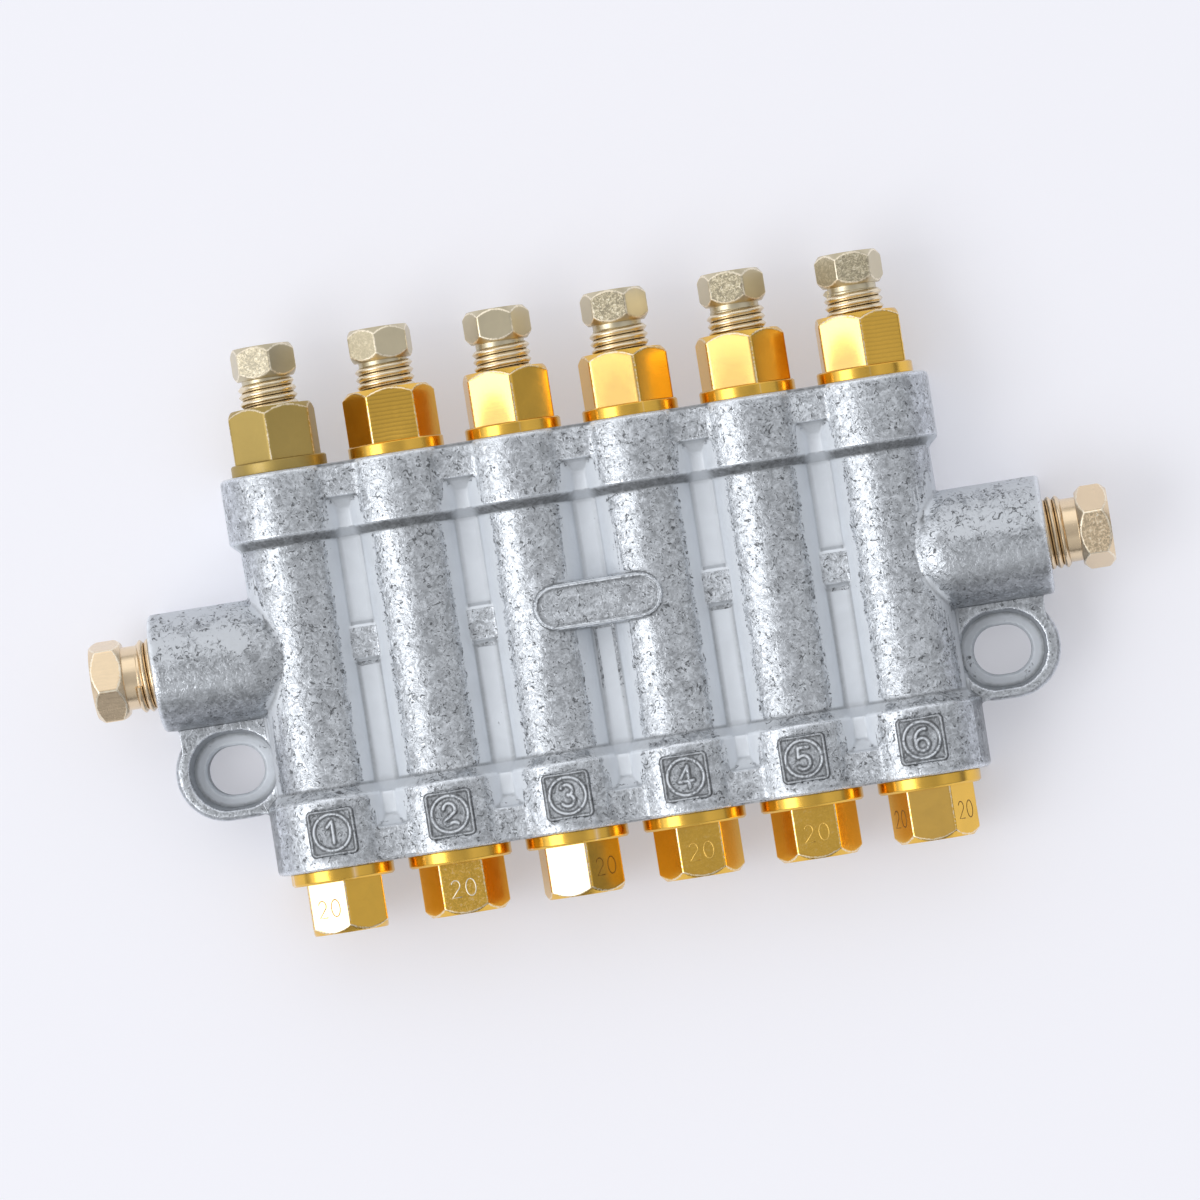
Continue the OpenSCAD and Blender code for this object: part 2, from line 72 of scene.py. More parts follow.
def span(node):
    """Lowest and highest corner of a CAD node, in millimetres."""
    low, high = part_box(node)
    return np.array(low) / MM, np.array(high) / MM


STATIONS = range(1, 1 + sum(name.startswith("outlet_fitting_") for name in frame["nodes"]))
STATION_X = {i: float(sum(v[0] for v in span(f"outlet_fitting_{i}")) / 2) for i in STATIONS}
AXIS_Z = float(sum(v[2] for v in span("outlet_fitting_1")) / 2)
CAST_LOW, CAST_HIGH = span("casting")
FACE_OUT = float(CAST_HIGH[1])
FACE_IN = float(CAST_LOW[1])
MIDDLE = (FACE_OUT + FACE_IN) / 2
HALF = (FACE_OUT - FACE_IN) / 2
PITCH = STATION_X[2] - STATION_X[1]
ROW_HALF = (max(STATION_X.values()) - min(STATION_X.values())) / 2
GALLERY_Y = float(sum(v[1] for v in span("inlet_union_left")) / 2)

# Sizes that repeat the solids', in millimetres. Both kinds of shank have a thread and a plain end
MOUTH = 8.9
CROWN = 1.1
CROWN_INSET = 0.15
CORNER_SPARE = 0.1
SCREW_R = 4.95
SCREW_DEPTH = 8.9
BORE_R = 4.2
BORE_DEPTH = 9.5
FITTING_AF = 11.0
FITTING_COLLAR = 1.65
STEM_R = 1.5
STEM_END = -12.9
STEM_BORE_R = 0.75
STEM_BORE_END = -3.3
TUBE_BORE_R = 1.2
NIPPLE_AF = 10.2
NIPPLE_HEIGHT = 8.7
NIPPLE_COLLAR = 1.75
NIPPLE_COLLAR_R = 7.0
CHAMBER_R = 3.5
CHAMBER_STOP = -16.35
CHAMBER_FLOOR = -HALF - 4
SPRING_ROOM_R = 3.3
UNION = {
    "thread_r": 4.0, "tube_r": 2.05, "inside": 4.5, "outside": 3.85, "neck": 0.8, "af": 8.0,
    "height": 4.45,
}
INLET = {
    "thread_r": 5.0, "tube_r": 3.05, "inside": 6.5, "outside": 4.15, "neck": 2.0, "af": 10.0,
    "height": 4.35,
}
BARREL_R = 6.95
BAND_END = ROW_HALF + 7.4
BOSS_START = ROW_HALF + 5.0
BOSS_R = 8.2
EAR_TOP = 7.2
PLATE = (17.3, 6.0)
PLATE_Y = GALLERY_Y + 0.35
PLATE_TOP = AXIS_Z + BARREL_R + 0.45
SQUARE_Y = MIDDLE - 22.1
SQUARE_TOP = float(CAST_HIGH[2]) - 0.32
SQUARE_CORNER = 0.9


# ------------------------------------------------------------------ node trees


class Value:
    """Output socket that carries a number, so that node maths reads as arithmetic."""

    def __init__(self, board, socket):
        self.board = board
        self.socket = socket

    def _maths(self, operation, first, second=0.0):
        sockets = {0: first, 1: second}
        return self.board.make("ShaderNodeMath", {"operation": operation}, sockets)["Value"]

    def __add__(self, other):
        return self._maths("ADD", self, other)

    __radd__ = __add__

    def __sub__(self, other):
        return self._maths("SUBTRACT", self, other)

    def __rsub__(self, other):
        return self._maths("SUBTRACT", other, self)

    def __mul__(self, other):
        return self._maths("MULTIPLY", self, other)

    def __truediv__(self, other):
        return self._maths("DIVIDE", self, other)

    def __rtruediv__(self, other):
        return self._maths("DIVIDE", other, self)

    def sine(self):
        return self._maths("SINE", self)

    def cosine(self):
        return self._maths("COSINE", self)

    def size(self):
        return self._maths("ABSOLUTE", self)

    def above(self, other):
        return self._maths("MAXIMUM", self, other)

    def below(self, other):
        return self._maths("MINIMUM", self, other)

    def limited(self):
        return self.above(0.0).below(1.0)


class Outputs:
    """The output sockets of one new node, by name or by place."""

    def __init__(self, board, node):
        self.board = board
        self.node = node

    def __getitem__(self, key):
        return Value(self.board, self.node.outputs[key])


class Board:
    """Node tree that is filled through one method, whatever the kind of node."""

    def __init__(self, tree):
        self.tree = tree

    def make(self, kind, settings=None, inputs=None):
        node = self.tree.nodes.new(kind)
        for key, value in (settings or {}).items():
            if key == "stops":
                self._set_stops(node.color_ramp, value)
            else:
                setattr(node, key, value)
        for key, value in (inputs or {}).items():
            if isinstance(value, Value):
                self.tree.links.new(value.socket, node.inputs[key])
            else:
                node.inputs[key].default_value = value
        return Outputs(self, node)

    @staticmethod
    def _set_stops(ramp, stops):
        while len(ramp.elements) < len(stops):
            ramp.elements.new(1.0)
        for element, (place, colour) in zip(ramp.elements, stops):
            element.position = place
            element.color = (*colour, 1.0)


class Finish(Board):
    """Procedural material on Object coordinates, with one Principled shader."""

    def __init__(self, name):
        self.material = bpy.data.materials.new(f"{name}_finish")
        self.material.use_nodes = True
        super().__init__(self.material.node_tree)
        self.tree.nodes.clear()
        self.place = self.make("ShaderNodeTexCoord")["Object"]

    def stretched(self, scale):
        """Object coordinates with a scale of their own along each axis."""
        inputs = {"Vector": self.place, "Scale": scale}
        return self.make("ShaderNodeMapping", {"vector_type": "POINT"}, inputs)["Vector"]

    def noise(self, size, detail=3.0, roughness=0.55, distortion=0.0, place=None):
        """Noise whose blotches are about this many millimetres across."""
        inputs = {
            "Vector": place or self.place,
            "Scale": 1 / (size * MM),
            "Detail": detail,
            "Roughness": roughness,
            "Distortion": distortion,
        }
        return self.make("ShaderNodeTexNoise", {"noise_dimensions": "3D"}, inputs)["Fac"]

    def attribute(self, name):
        return self.make("ShaderNodeAttribute", {"attribute_name": name})["Fac"]

    def ramp(self, value, stops):
        return self.make("ShaderNodeValToRGB", {"stops": stops}, {"Fac": value})["Color"]

    def mix(self, factor, first, second):
        """Mix of two colours. The Mix node repeats its sockets' names, so places tell them apart."""
        settings = {"data_type": "RGBA", "blend_type": "MIX", "clamp_factor": True}
        first, second = (c if isinstance(c, Value) else (*c, 1.0) for c in (first, second))
        return self.make("ShaderNodeMix", settings, {0: factor, 6: first, 7: second})[2]

    def bump(self, height, strength, distance):
        inputs = {"Height": height, "Strength": strength, "Distance": distance * MM}
        return self.make("ShaderNodeBump", {}, inputs)["Normal"]

    def surface(self, **inputs):
        """Principled shader on the output, with underscores for the spaces in its input names."""
        values = {key.replace("_", " "): value for key, value in inputs.items()}
        shader = self.make("ShaderNodeBsdfPrincipled", {}, values)["BSDF"]
        self.make("ShaderNodeOutputMaterial", {}, {"Surface": shader})
        return self.material


# ------------------------------------------------------------------ sizes and finishes


def length(name, description, default, **limits):
    """Property that holds a size in millimetres."""
    return bpy.props.FloatProperty(name=name, description=description, default=default, **limits)


def whole(name, description, default, **limits):
    """Property that holds a whole number."""
    return bpy.props.IntProperty(name=name, description=description, default=default, **limits)


def colour(name, description, default):
    """Property that holds the colour of a finish."""
    return bpy.props.FloatVectorProperty(
        name=name, description=description, default=default, subtype="COLOR", size=3, min=0, max=1
    )


class DistributorSizes(bpy.types.PropertyGroup):
    """Sizes of the finished pieces, in millimetres."""

    voxel: length("Skin Voxel", "Grain of the casting's new skin", 0.2, min=0.15, max=1.0)
    fillet_passes: whole("Fillet Passes", "Passes that fill the casting's inner corners", 4, min=0)
    skin_triangles: whole("Skin Triangles", "Most triangles in the casting", 185000, min=20000)
    square: length("Number Square", "Side of the square round each station number", 6.7)
    ring: length("Number Ring", "Diameter of the ring round each station number", 5.2)
    digit: length("Number Height", "Height of the station numbers", 2.9)
    dose_digit: length("Dose Height", "Height of the dose marks on the nipples", 2.3)
    dose: whole("Dose", "Dose marked on every nipple, in hundredths of a cubic centimetre", 20)
    edge: length("Edge Rounding", "Rounding of the turned edges", 0.12, min=0.02, max=0.3)
    thread_pitch: length("Thread Pitch", "Pitch of the union screws' threads", 1.0, min=0.5)


class DistributorFinishes(bpy.types.PropertyGroup):
    """Colours of the materials."""

    zinc_pale: colour("Cast Skin", "Cast zinc where it is untouched", (0.72, 0.76, 0.81))
    # The darkest zinc also paints the shade in corners, recesses and shelves
    zinc_dark: colour("Worn Zinc", "Darkest flecks on the tumbled crests", (0.09, 0.095, 0.10))
    brass: colour("Yellow Brass", "Colour of the fittings and nipples", (0.90, 0.54, 0.08))
    pale_brass: colour("Pale Brass", "Colour of the outlet union screws", (0.66, 0.58, 0.40))
    rose_brass: colour("Rose Brass", "Colour of the inlet union screws", (0.86, 0.68, 0.45))
    backdrop: colour("Backdrop", "Colour of the floor", (0.925, 0.93, 0.99))


def sizes():
    return bpy.context.scene.distributor_sizes


def finishes():
    return bpy.context.scene.distributor_finishes


# ------------------------------------------------------------------ mesh helpers


def new_object(name, mesh, body, slot, material, *nodes):
    """Links a finished mesh as a piece that rides on a body and may stand for CAD nodes."""
    piece = bpy.data.objects.new(name, mesh)
    bpy.context.scene.collection.objects.link(piece)
    mesh.materials.clear()
    mesh.materials.append(material)
    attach(piece, body)
    if nodes:
        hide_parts(*nodes)
    return piece


def read(items, field, width=1, kind=float):
    """One property of all of a mesh's items, in rows where it has more than one number."""
    values = np.empty(len(items) * width, dtype=kind)
    items.foreach_get(field, values)
    return values.reshape(-1, width) if width > 1 else values


def store(mesh, name, values):
    """Number of each point, as an attribute of the mesh."""
    mesh.attributes.new(name, "FLOAT", "POINT").data.foreach_set("value", values)


def cleaned(mesh, merge=0.0, dissolve=0.0):
    """The mesh with near points joined, slivers dissolved and faces turned outwards."""
    work = bmesh.new()
    work.from_mesh(mesh)
    if merge:
        bmesh.ops.remove_doubles(work, verts=work.verts, dist=merge)
    if dissolve:
        bmesh.ops.dissolve_degenerate(work, edges=work.edges, dist=dissolve)
    if work.calc_volume(signed=True) < 0:
        bmesh.ops.reverse_faces(work, faces=work.faces)
    work.to_mesh(mesh)
    work.free()
    return mesh


def applied(mesh, add_modifier):
    """New mesh with a modifier applied to it."""
    holder = bpy.data.objects.new("maker", mesh)
    bpy.context.scene.collection.objects.link(holder)
    add_modifier(holder)
    bpy.context.view_layer.update()
    evaluated = holder.evaluated_get(bpy.context.evaluated_depsgraph_get())
    result = bpy.data.meshes.new_from_object(evaluated)
    holder.modifiers.clear()
    bpy.data.objects.remove(holder)
    return result


def modified(mesh, kind, **settings):
    """New mesh with a plain modifier applied to it."""
    def add(holder):
        modifier = holder.modifiers.new("maker", kind)
        for key, value in settings.items():
            setattr(modifier, key, value)

    return applied(mesh, add)


def mesh_from(name, points, faces):
    """Closed smooth mesh from points in millimetres, its faces turned outwards."""
    mesh = bpy.data.meshes.new(name)
    mesh.from_pydata((np.asarray(points, dtype=float) * MM).tolist(), [], faces)
    cleaned(mesh, merge=1e-7, dissolve=1e-8)
    mesh.shade_smooth()
    return mesh


def even_normals(mesh):
    """Vertex normals weighted by the faces' areas, so that flats stay flat beside a rounding."""
    count = len(mesh.vertices)
    corner = read(mesh.loops, "vertex_index", kind=np.int64)
    totals = read(mesh.polygons, "loop_total", kind=np.int64)
    weighted = read(mesh.polygons, "normal", 3) * read(mesh.polygons, "area")[:, None]
    per_corner = np.repeat(weighted, totals, axis=0)
    normals = np.stack([np.bincount(corner, side, count) for side in per_corner.T], axis=1)
    length_of = np.linalg.norm(normals, axis=1, keepdims=True)
    normals /= np.where(length_of > 0, length_of, 1)
    mesh.normals_split_custom_set_from_vertices(normals.tolist())


def rounded(outline, default):
    """Turns the corners of a half section (radius, along, rounding) into short arcs."""
    points = []
    last = len(outline) - 1
    for k, corner in enumerate(outline):
        here = np.array(corner[:2], dtype=float)
        radius = corner[2] if len(corner) > 2 else default
        if here[0] < 1e-9 or radius <= 0:
            points.append(here)
            continue
        before = np.array(outline[k - 1][:2], dtype=float)
        after = np.array(outline[0 if k == last else k + 1][:2], dtype=float)
        to_before = before - here
        to_after = after - here
        room = min(np.linalg.norm(to_before), np.linalg.norm(to_after)) * 0.45
        to_before /= np.linalg.norm(to_before)
        to_after /= np.linalg.norm(to_after)
        bend = math.pi - math.acos(float(np.clip(np.dot(to_before, to_after), -1, 1)))
        reach = min(radius * math.tan(bend / 2), room)
        if bend < 0.2 or reach < 0.004:
            points.append(here)
            continue
        start = here + to_before * reach
        end = here + to_after * reach
        for t in (0.0, 0.25, 0.5, 0.75, 1.0):
            points.append((1 - t) ** 2 * start + 2 * t * (1 - t) * here + t * t * end)
    return points


# Length of a crown's rows, how softly a hexagon's faces meet, and how wide their scuffs are
CROWN_STEP = 0.09
CORNER_SOFTNESS = 0.045
CROWN_SOFTNESS = 0.02
EDGE_WIDTH = 0.26
CROWN_WIDTH = 0.28


def sector_angles():
    """Angles round a turned part in degrees, close together at the corners of a hexagon."""
    half_sector = [2.5, 7, 12, 17, 21, 24.5, 26.5, 27.4, 28.2, 28.9, 29.5]
    sector = [-a for a in reversed(half_sector)] + half_sector + [30]
    return np.array([60 * k + a for k in range(6) for a in sector])


def turned_mesh(name, outline, hexagon, origin, side):
    """Turned part from its half section. Hexagon is (low, high, across flats, turn).

    The part points along Y, or for a side of -1 or 1 to that end of the row.
    """
    low, high, af, turn = hexagon
    points = rounded(outline, sizes().edge)
    closed = points[0][0] > 1e-9
    rows = []
    loop = points + [points[0]] if closed else points
    for a, b in zip(loop, loop[1:]):
        rows.append(a)
        in_hexagon = low < (a[1] + b[1]) / 2 < high
        if in_hexagon and abs(a[0] - b[0]) > 0.05 and max(a[0], b[0]) > af / 2 - 0.3:
            steps = max(int(np.linalg.norm(a - b) / CROWN_STEP), 1)
            rows += [a + (b - a) * s / steps for s in range(1, steps)]
    if not closed:
        rows.append(points[-1])
    angles = np.radians(sector_angles() + turn)
    vertices = []
    for radius, z in rows:
        r = np.full(len(angles), max(radius, 0.0))
        if low + 1e-6 < z < high - 1e-6 and radius > af / 2 - 0.4:
            flat = af / 2
            phase = angles[:, None] - np.radians(turn + 60 * np.arange(6))[None, :]
            reach = np.sort(np.cos(phase) / flat, axis=1)
            inverse = soft_max(reach[:, -1], reach[:, -2], CORNER_SOFTNESS / flat)
            inverse = soft_max(inverse, np.full(len(angles), 1 / radius), CROWN_SOFTNESS / flat)
            r = 1 / inverse
        ring = [r * np.sin(angles), np.full(len(angles), z), r * np.cos(angles)]
        vertices.append(np.stack(ring, axis=1))
    vertices = np.concatenate(vertices)
    if side:
        across, along, up = vertices.T
        vertices = np.stack([side * along, -side * across, up], axis=1)
    vertices += np.array(origin)
    n = len(angles)
    faces = []
    for k in range(len(rows) if closed else len(rows) - 1):
        a, b = k * n, (k + 1) % len(rows) * n
        for j in range(n):
            i = (j + 1) % n
            faces.append((a + j, a + i, b + i, b + j))
    mesh = mesh_from(name, vertices, faces)
    even_normals(mesh)
    return mesh


def mark_flats(mesh, hexagon, centre, across, crowns, **marks):
    """Attributes on a hexagon: edge along its corners and crowns, and the marks of single flats.

    Hexagon is (low, high, across flats, turn), and crowns says how many of its ends are crowned,
    the outer one first. Each mark gives a strength for flats by their turn in degrees.
    """
    low, high, af, turn = hexagon
    corner_r = af / math.sqrt(3)
    points = read(mesh.vertices, "co", 3) / MM - np.array(centre)
    first, second = points[:, across[0]], points[:, across[1]]
    along = np.abs(points[:, 3 - sum(across)])
    phase = (np.degrees(np.arctan2(first, second)) - turn + 30) % 60 - 30
    radius = np.hypot(first, second)
    inner, outer = sorted((abs(low), abs(high)))
    edge = 1 - (af / math.sqrt(12) - af / 2 * np.abs(np.tan(np.radians(phase)))) / EDGE_WIDTH
    steep = (corner_r - af / 2 + (CORNER_SPARE + CROWN_INSET)) / CROWN
    for room in (outer - along, along - inner)[:crowns]:
        cone = corner_r + CORNER_SPARE - (CROWN - room) * steep
        crown = np.abs(cone - af / 2 / np.cos(np.radians(phase))) / steep
        edge = np.where(room < CROWN, 1 - crown / CROWN_WIDTH, edge)
    on_hexagon = (radius > af / 2 - 0.3) * (along > inner - 0.01) * (along < outer + 0.01)
    store(mesh, "edge", np.clip(edge, 0, 1) * on_hexagon)
    for mark, flats in marks.items():
        values = np.zeros(len(points))
        for angle, strength in flats.items():
            turned = math.radians(angle)
            reach = first * math.sin(turned) + second * math.cos(turned)
            values[np.abs(reach - af / 2) < 0.03] = strength
        store(mesh, mark, values)


def soft_max(a, b, k):
    """Greater of two arrays, with a smooth change over from one to the other."""
    h = np.clip(k - np.abs(a - b), 0, None) / k
    return np.maximum(a, b) + h * h * k / 4


def arc(cx, cy, rx, ry, start, end, steps=14):
    """Points of an elliptical arc, angles in degrees."""
    return [
        (cx + rx * math.cos(math.radians(t)), cy + ry * math.sin(math.radians(t)))
        for t in np.linspace(start, end, steps)
    ]


def digit_strokes(digit, plain=False):
    """Strokes of a digit one unit high, centred on the origin; a plain two has a straight base."""
    if plain and digit == 2:
        return [arc(0, 0.21, 0.25, 0.29, 165, -35) + [(-0.27, -0.5), (0.29, -0.5)]]
    return {
        0: [arc(0, 0, 0.29, 0.5, 90, 450, 28)],
        1: [[(-0.2, 0.26), (0.04, 0.5), (0.04, -0.5)]],
        2: [arc(0, 0.21, 0.27, 0.29, 170, -30) + arc(-0.14, -0.36, 0.13, 0.13, 130, 250, 8)
            + arc(0.14, -0.62, 0.26, 0.22, 130, 40, 8)],
        3: [arc(-0.02, 0.24, 0.26, 0.26, 150, -80), arc(-0.02, -0.23, 0.3, 0.27, 85, -150)],
        4: [[(0.14, -0.5), (0.14, 0.5), (-0.32, -0.2), (0.34, -0.2)]],
        5: [[(0.26, 0.5), (-0.2, 0.5), (-0.24, 0.06)] + arc(-0.02, -0.18, 0.3, 0.32, 120, -140)],
        6: [arc(0.14, 0.02, 0.44, 0.48, 80, 185, 10) + arc(0, -0.21, 0.29, 0.29, 170, -190, 26)],
    }[digit]


def stroke_distance(x, y, strokes):
    """Distance from points to the nearest stroke."""
    nearest = np.full(x.shape, 1e9)
    for stroke in strokes:
        for (ax, ay), (bx, by) in zip(stroke, stroke[1:]):
            dx, dy = bx - ax, by - ay
            t = np.clip(((x - ax) * dx + (y - ay) * dy) / (dx * dx + dy * dy + 1e-12), 0, 1)
            nearest = np.minimum(nearest, np.hypot(x - ax - t * dx, y - ay - t * dy))
    return nearest


def smooth(t):
    """Zero to one with soft ends."""
    return t * t * (3 - 2 * t)


def ridge(distance, width, soft):
    """One on a line of this width, falling smoothly to nothing beside it."""
    return smooth(np.clip((width / 2 + soft - distance) / soft, 0, 1))


def relief_mesh(name, centre, size, step, height, base):
    """Closed block with a height map on top: z, how worn each point is, its painted shade, and its
    polish with painted highlights.
    """
    nx, ny = (int(round(s / step)) + 1 for s in size)
    x = np.linspace(-size[0] / 2, size[0] / 2, nx)
    y = np.linspace(-size[1] / 2, size[1] / 2, ny)
    gx, gy = np.meshgrid(x, y, indexing="ij")
    z, *marks = height(gx, gy)
    top = np.stack([gx + centre[0], gy + centre[1], z], axis=-1).reshape(-1, 3)
    floor = top.copy()
    floor[:, 2] = base
    index = np.arange(nx * ny).reshape(nx, ny)
    quads = np.stack([index[:-1, :-1], index[1:, :-1], index[1:, 1:], index[:-1, 1:]], axis=-1)
    rim = np.concatenate([index[:, 0], index[-1, 1:], index[-2::-1, -1], index[0, -2:0:-1]]).tolist()
    below = {v: nx * ny + k for k, v in enumerate(rim)}
    faces = [tuple(q) for q in quads.reshape(-1, 4).tolist()]
    faces += [(a, below[a], below[b], b) for a, b in zip(rim, rim[1:] + rim[:1])]
    faces.append(tuple(below[v] for v in reversed(rim)))
    mesh = bpy.data.meshes.new(name)
    mesh.from_pydata((np.concatenate([top, floor[rim]]) * MM).tolist(), [], faces)
    for label, values in zip(("worn", "dirt", "proud"), marks):
        store(mesh, label, np.concatenate([values.reshape(-1), np.zeros(len(rim))]))
    mesh.shade_smooth()
    return mesh


def inside_square(x, y, side):
    """Distance from points to the edge of a square with round corners, positive inside."""
    qx = np.abs(x) - side / 2 + SQUARE_CORNER
    qy = np.abs(y) - side / 2 + SQUARE_CORNER
    past = np.hypot(np.maximum(qx, 0), np.maximum(qy, 0))
    return SQUARE_CORNER - past - np.minimum(np.maximum(qx, qy), 0)


def inside_plate(x, y):
    """Distance from points to the edge of the name plate, positive inside."""
    over = np.clip(np.abs(x) - (PLATE[0] - PLATE[1]) / 2, 0, None)
    return PLATE[1] / 2 - np.hypot(over, y)


# ------------------------------------------------------------------ materials


def shades(colour, *factors):
    """Lighter and darker shades of a colour, kept under white."""
    return [tuple(min(c * factor, 1.0) for c in colour) for factor in factors]


def cast_zinc():
    """Die-cast zinc: a smooth skin in the valleys, crumpled and flecked crests, painted shade in
    corners and recesses, and polished edges painted lighter with painted highlights.
    """
    look = finishes()
    dark = tuple(look.zinc_dark)
    low, grey, mid, pale, bright = shades(look.zinc_pale, 0.54, 0.70, 0.84, 1.06, 1.20)
    board = Finish("cast_zinc")
    worn, dirt, proud = (board.attribute(name) for name in ("worn", "dirt", "proud"))
    blotch = board.noise(4.0, 2.0, 0.6, 0.8)
    crumple = board.noise(1.3, 2.0, 0.5, 1.2)
    dent = board.noise(0.6, 2.0, 0.5, 1.5)
    fleck = board.noise(1.0, 3.0, 0.6, 2.0)
    foil = crumple * 0.5 + dent * 0.5
    tumbled = board.ramp(foil, [(0.38, low), (0.46, grey), (0.53, mid), (0.62, pale)])
    skin = board.mix(blotch, shades(mid, 1.08)[0], pale)
    edge = ((worn + (blotch - 0.5) * 1.0 + (fleck - 0.5) * 1.1 - 0.5) * 4.0 + 0.5).limited()
    rim = 1.0 - (edge * 2.0 - 1.0).size()
    base = board.mix(edge, skin, tumbled)
    speck = ((fleck * 0.6 + dent * 0.4 - 0.545 + rim * 0.035) * 16.0).limited()
    speck = speck * (edge * 1.6).limited()
    # Dark flecks on the crests, and painted shade in corners and recesses, in the darkest zinc
    base = board.mix((speck * 0.85).above((dirt * (1.5 - foil)).limited()), base, dark)
    # Polished edges painted lighter, with painted highlights on edges and glints
    base = board.mix(proud * (0.35 + foil * 0.8), base, bright)
    rough = 0.52 - edge * 0.15 - proud * 0.10 + (dent - 0.5) * 0.25 + speck * 0.2
    return board.surface(
        Base_Color=base, Metallic=0.25 + edge * 0.55, Roughness=rough,
        Normal=board.bump(foil * (edge + 0.08), 1.0, 0.13),
    )


# Painted reflection of the lamp on a flat that mirrors it, the dust in ground flats, and metal that
# was rubbed bare
SHINE = (0.95, 0.64, 0.30)
DUST = (0.92, 0.90, 0.80)
BARE = (0.97, 0.88, 0.70)
TOOTH = 0.56


def bright_brass(name, colour, rough, grain, coat, scuff):
    """Turned brass with faint tool marks, smudges, scuffed edges, flats that were ground, and a
    painted lamp reflection on the flats marked shine.
    """
    board = Finish(name)
    marks = ("ground", "lined", "shine", "edge")
    ground, lined, shine, edge = (board.attribute(mark) for mark in marks)
    smudge = board.noise(3.0, 4.0, 0.6, 0.8)
    dent = board.noise(0.35, 3.0, 0.55, 0.4)
    pit = board.noise(0.42, 4.0, 0.7, 1.0)
    lines = board.noise(0.30, 2.0, 0.5, 0.0, board.stretched((0.10, 1.0, 0.10)))
    along = board.make("ShaderNodeSeparateXYZ", {}, {"Vector": board.place})["Y"]
    tooth = (along * (2 * math.pi / (TOOTH * MM)) + smudge * 3.0).sine() * lined
    low, high, dull, soft, light = shades(colour, 0.88, 1.06, 0.40, 0.70, 1.10)
    base = board.mix(smudge, low, high)
    # Painted reflection of the lamp on the flats that face it
    base = board.mix((shine * 2.5 - 1.5).limited(), base, SHINE)
    pitted = board.ramp(pit, [(0.42, dull), (0.50, soft), (0.57, light), (0.66, DUST)])
    base = board.mix(ground * 0.85, base, pitted)
    base = board.mix((0.0 - tooth * 0.4).limited(), base, dull)
    rubbed = ((edge + (dent - 0.5) * 1.6 - 0.45) * 3.0).limited() * scuff
    base = board.mix(rubbed, base, BARE)
    polish = rough + (smudge - 0.5) * 0.12 + (dent - 0.5) * 0.10 + ground * 0.20 + rubbed * 0.12
    relief = dent * 0.5 + lines * 0.7 + pit * ground * 5.0 + tooth * 0.6
    return board.surface(
        Base_Color=base, Metallic=1.0, Roughness=polish, Normal=board.bump(relief, grain, 0.02),
        Coat_Weight=(shine * 1.6 + coat).limited(), Coat_IOR=2.2, Coat_Roughness=0.15,
    )


def plain_steel(name, colour, rough):
    """Drawn or turned steel with lines round it."""
    board = Finish(name)
    smudge = board.noise(1.6, 3.0)
    lines = board.noise(0.18, 2.0, 0.5, 0.0, board.stretched((0.15, 1.0, 0.15)))
    return board.surface(
        Base_Color=board.mix(smudge, tuple(c * 0.85 for c in colour), colour), Metallic=1.0,
        Roughness=rough + (smudge - 0.5) * 0.1, Normal=board.bump(lines, 0.3, 0.01),
    )


def black_rubber():
    """Black rubber with a faint bloom."""
    board = Finish("seal_rubber")
    grain = board.noise(0.25, 3.0)
    bloom = board.noise(1.8, 3.0)
    return board.surface(
        Base_Color=board.mix(bloom, (0.012, 0.012, 0.013), (0.035, 0.035, 0.037)),
        Roughness=0.55 + (bloom - 0.5) * 0.2, Normal=board.bump(grain, 0.4, 0.02),
    )


# Colour, or the finish property that holds it, then roughness, tool marks, coat and scuffs
BRASSES = {
    "yellow_brass": ("brass", 0.20, 0.35, 0.12, 0.7),
    "green_brass": ((0.47, 0.34, 0.10), 0.50, 0.8, 0.12, 0.7),
    "pale_brass": ("pale_brass", 0.34, 0.9, 0.3, 1.0),
    "rose_brass": ("rose_brass", 0.25, 0.6, 0.3, 0.9),
    "thread_brass": ((0.88, 0.76, 0.55), 0.28, 0.5, 0.3, 0.7),
    "dose_mark": ((0.24, 0.12, 0.03), 0.45, 0.6, 0.0, 0.7),
    "dose_mark_gold": ((0.30, 0.17, 0.04), 0.45, 0.6, 0.0, 0.7),
    "dose_mark_pale": ((0.86, 0.80, 0.66), 0.30, 0.6, 0.0, 0.7),
    "dose_mark_faint": ((0.86, 0.54, 0.12), 0.28, 0.6, 0.1, 0.7),
}
STEELS = {
    "turned_steel": ((0.56, 0.57, 0.58), 0.25),
    "spring_wire": ((0.42, 0.42, 0.43), 0.32),
}


def material(key):
    """A finish by name, made on its first use. The frame's plain materials have the bare names."""
    made = bpy.data.materials.get(f"{key}_finish")
    if made:
        return made
    if key in BRASSES:
        shade, *values = BRASSES[key]
        if isinstance(shade, str):
            shade = tuple(getattr(finishes(), shade))
        return bright_brass(key, shade, *values)
    if key in STEELS:
        return plain_steel(key, *STEELS[key])
    return {"cast_zinc": cast_zinc, "seal_rubber": black_rubber}[key]()


# ------------------------------------------------------------------ geometry nodes


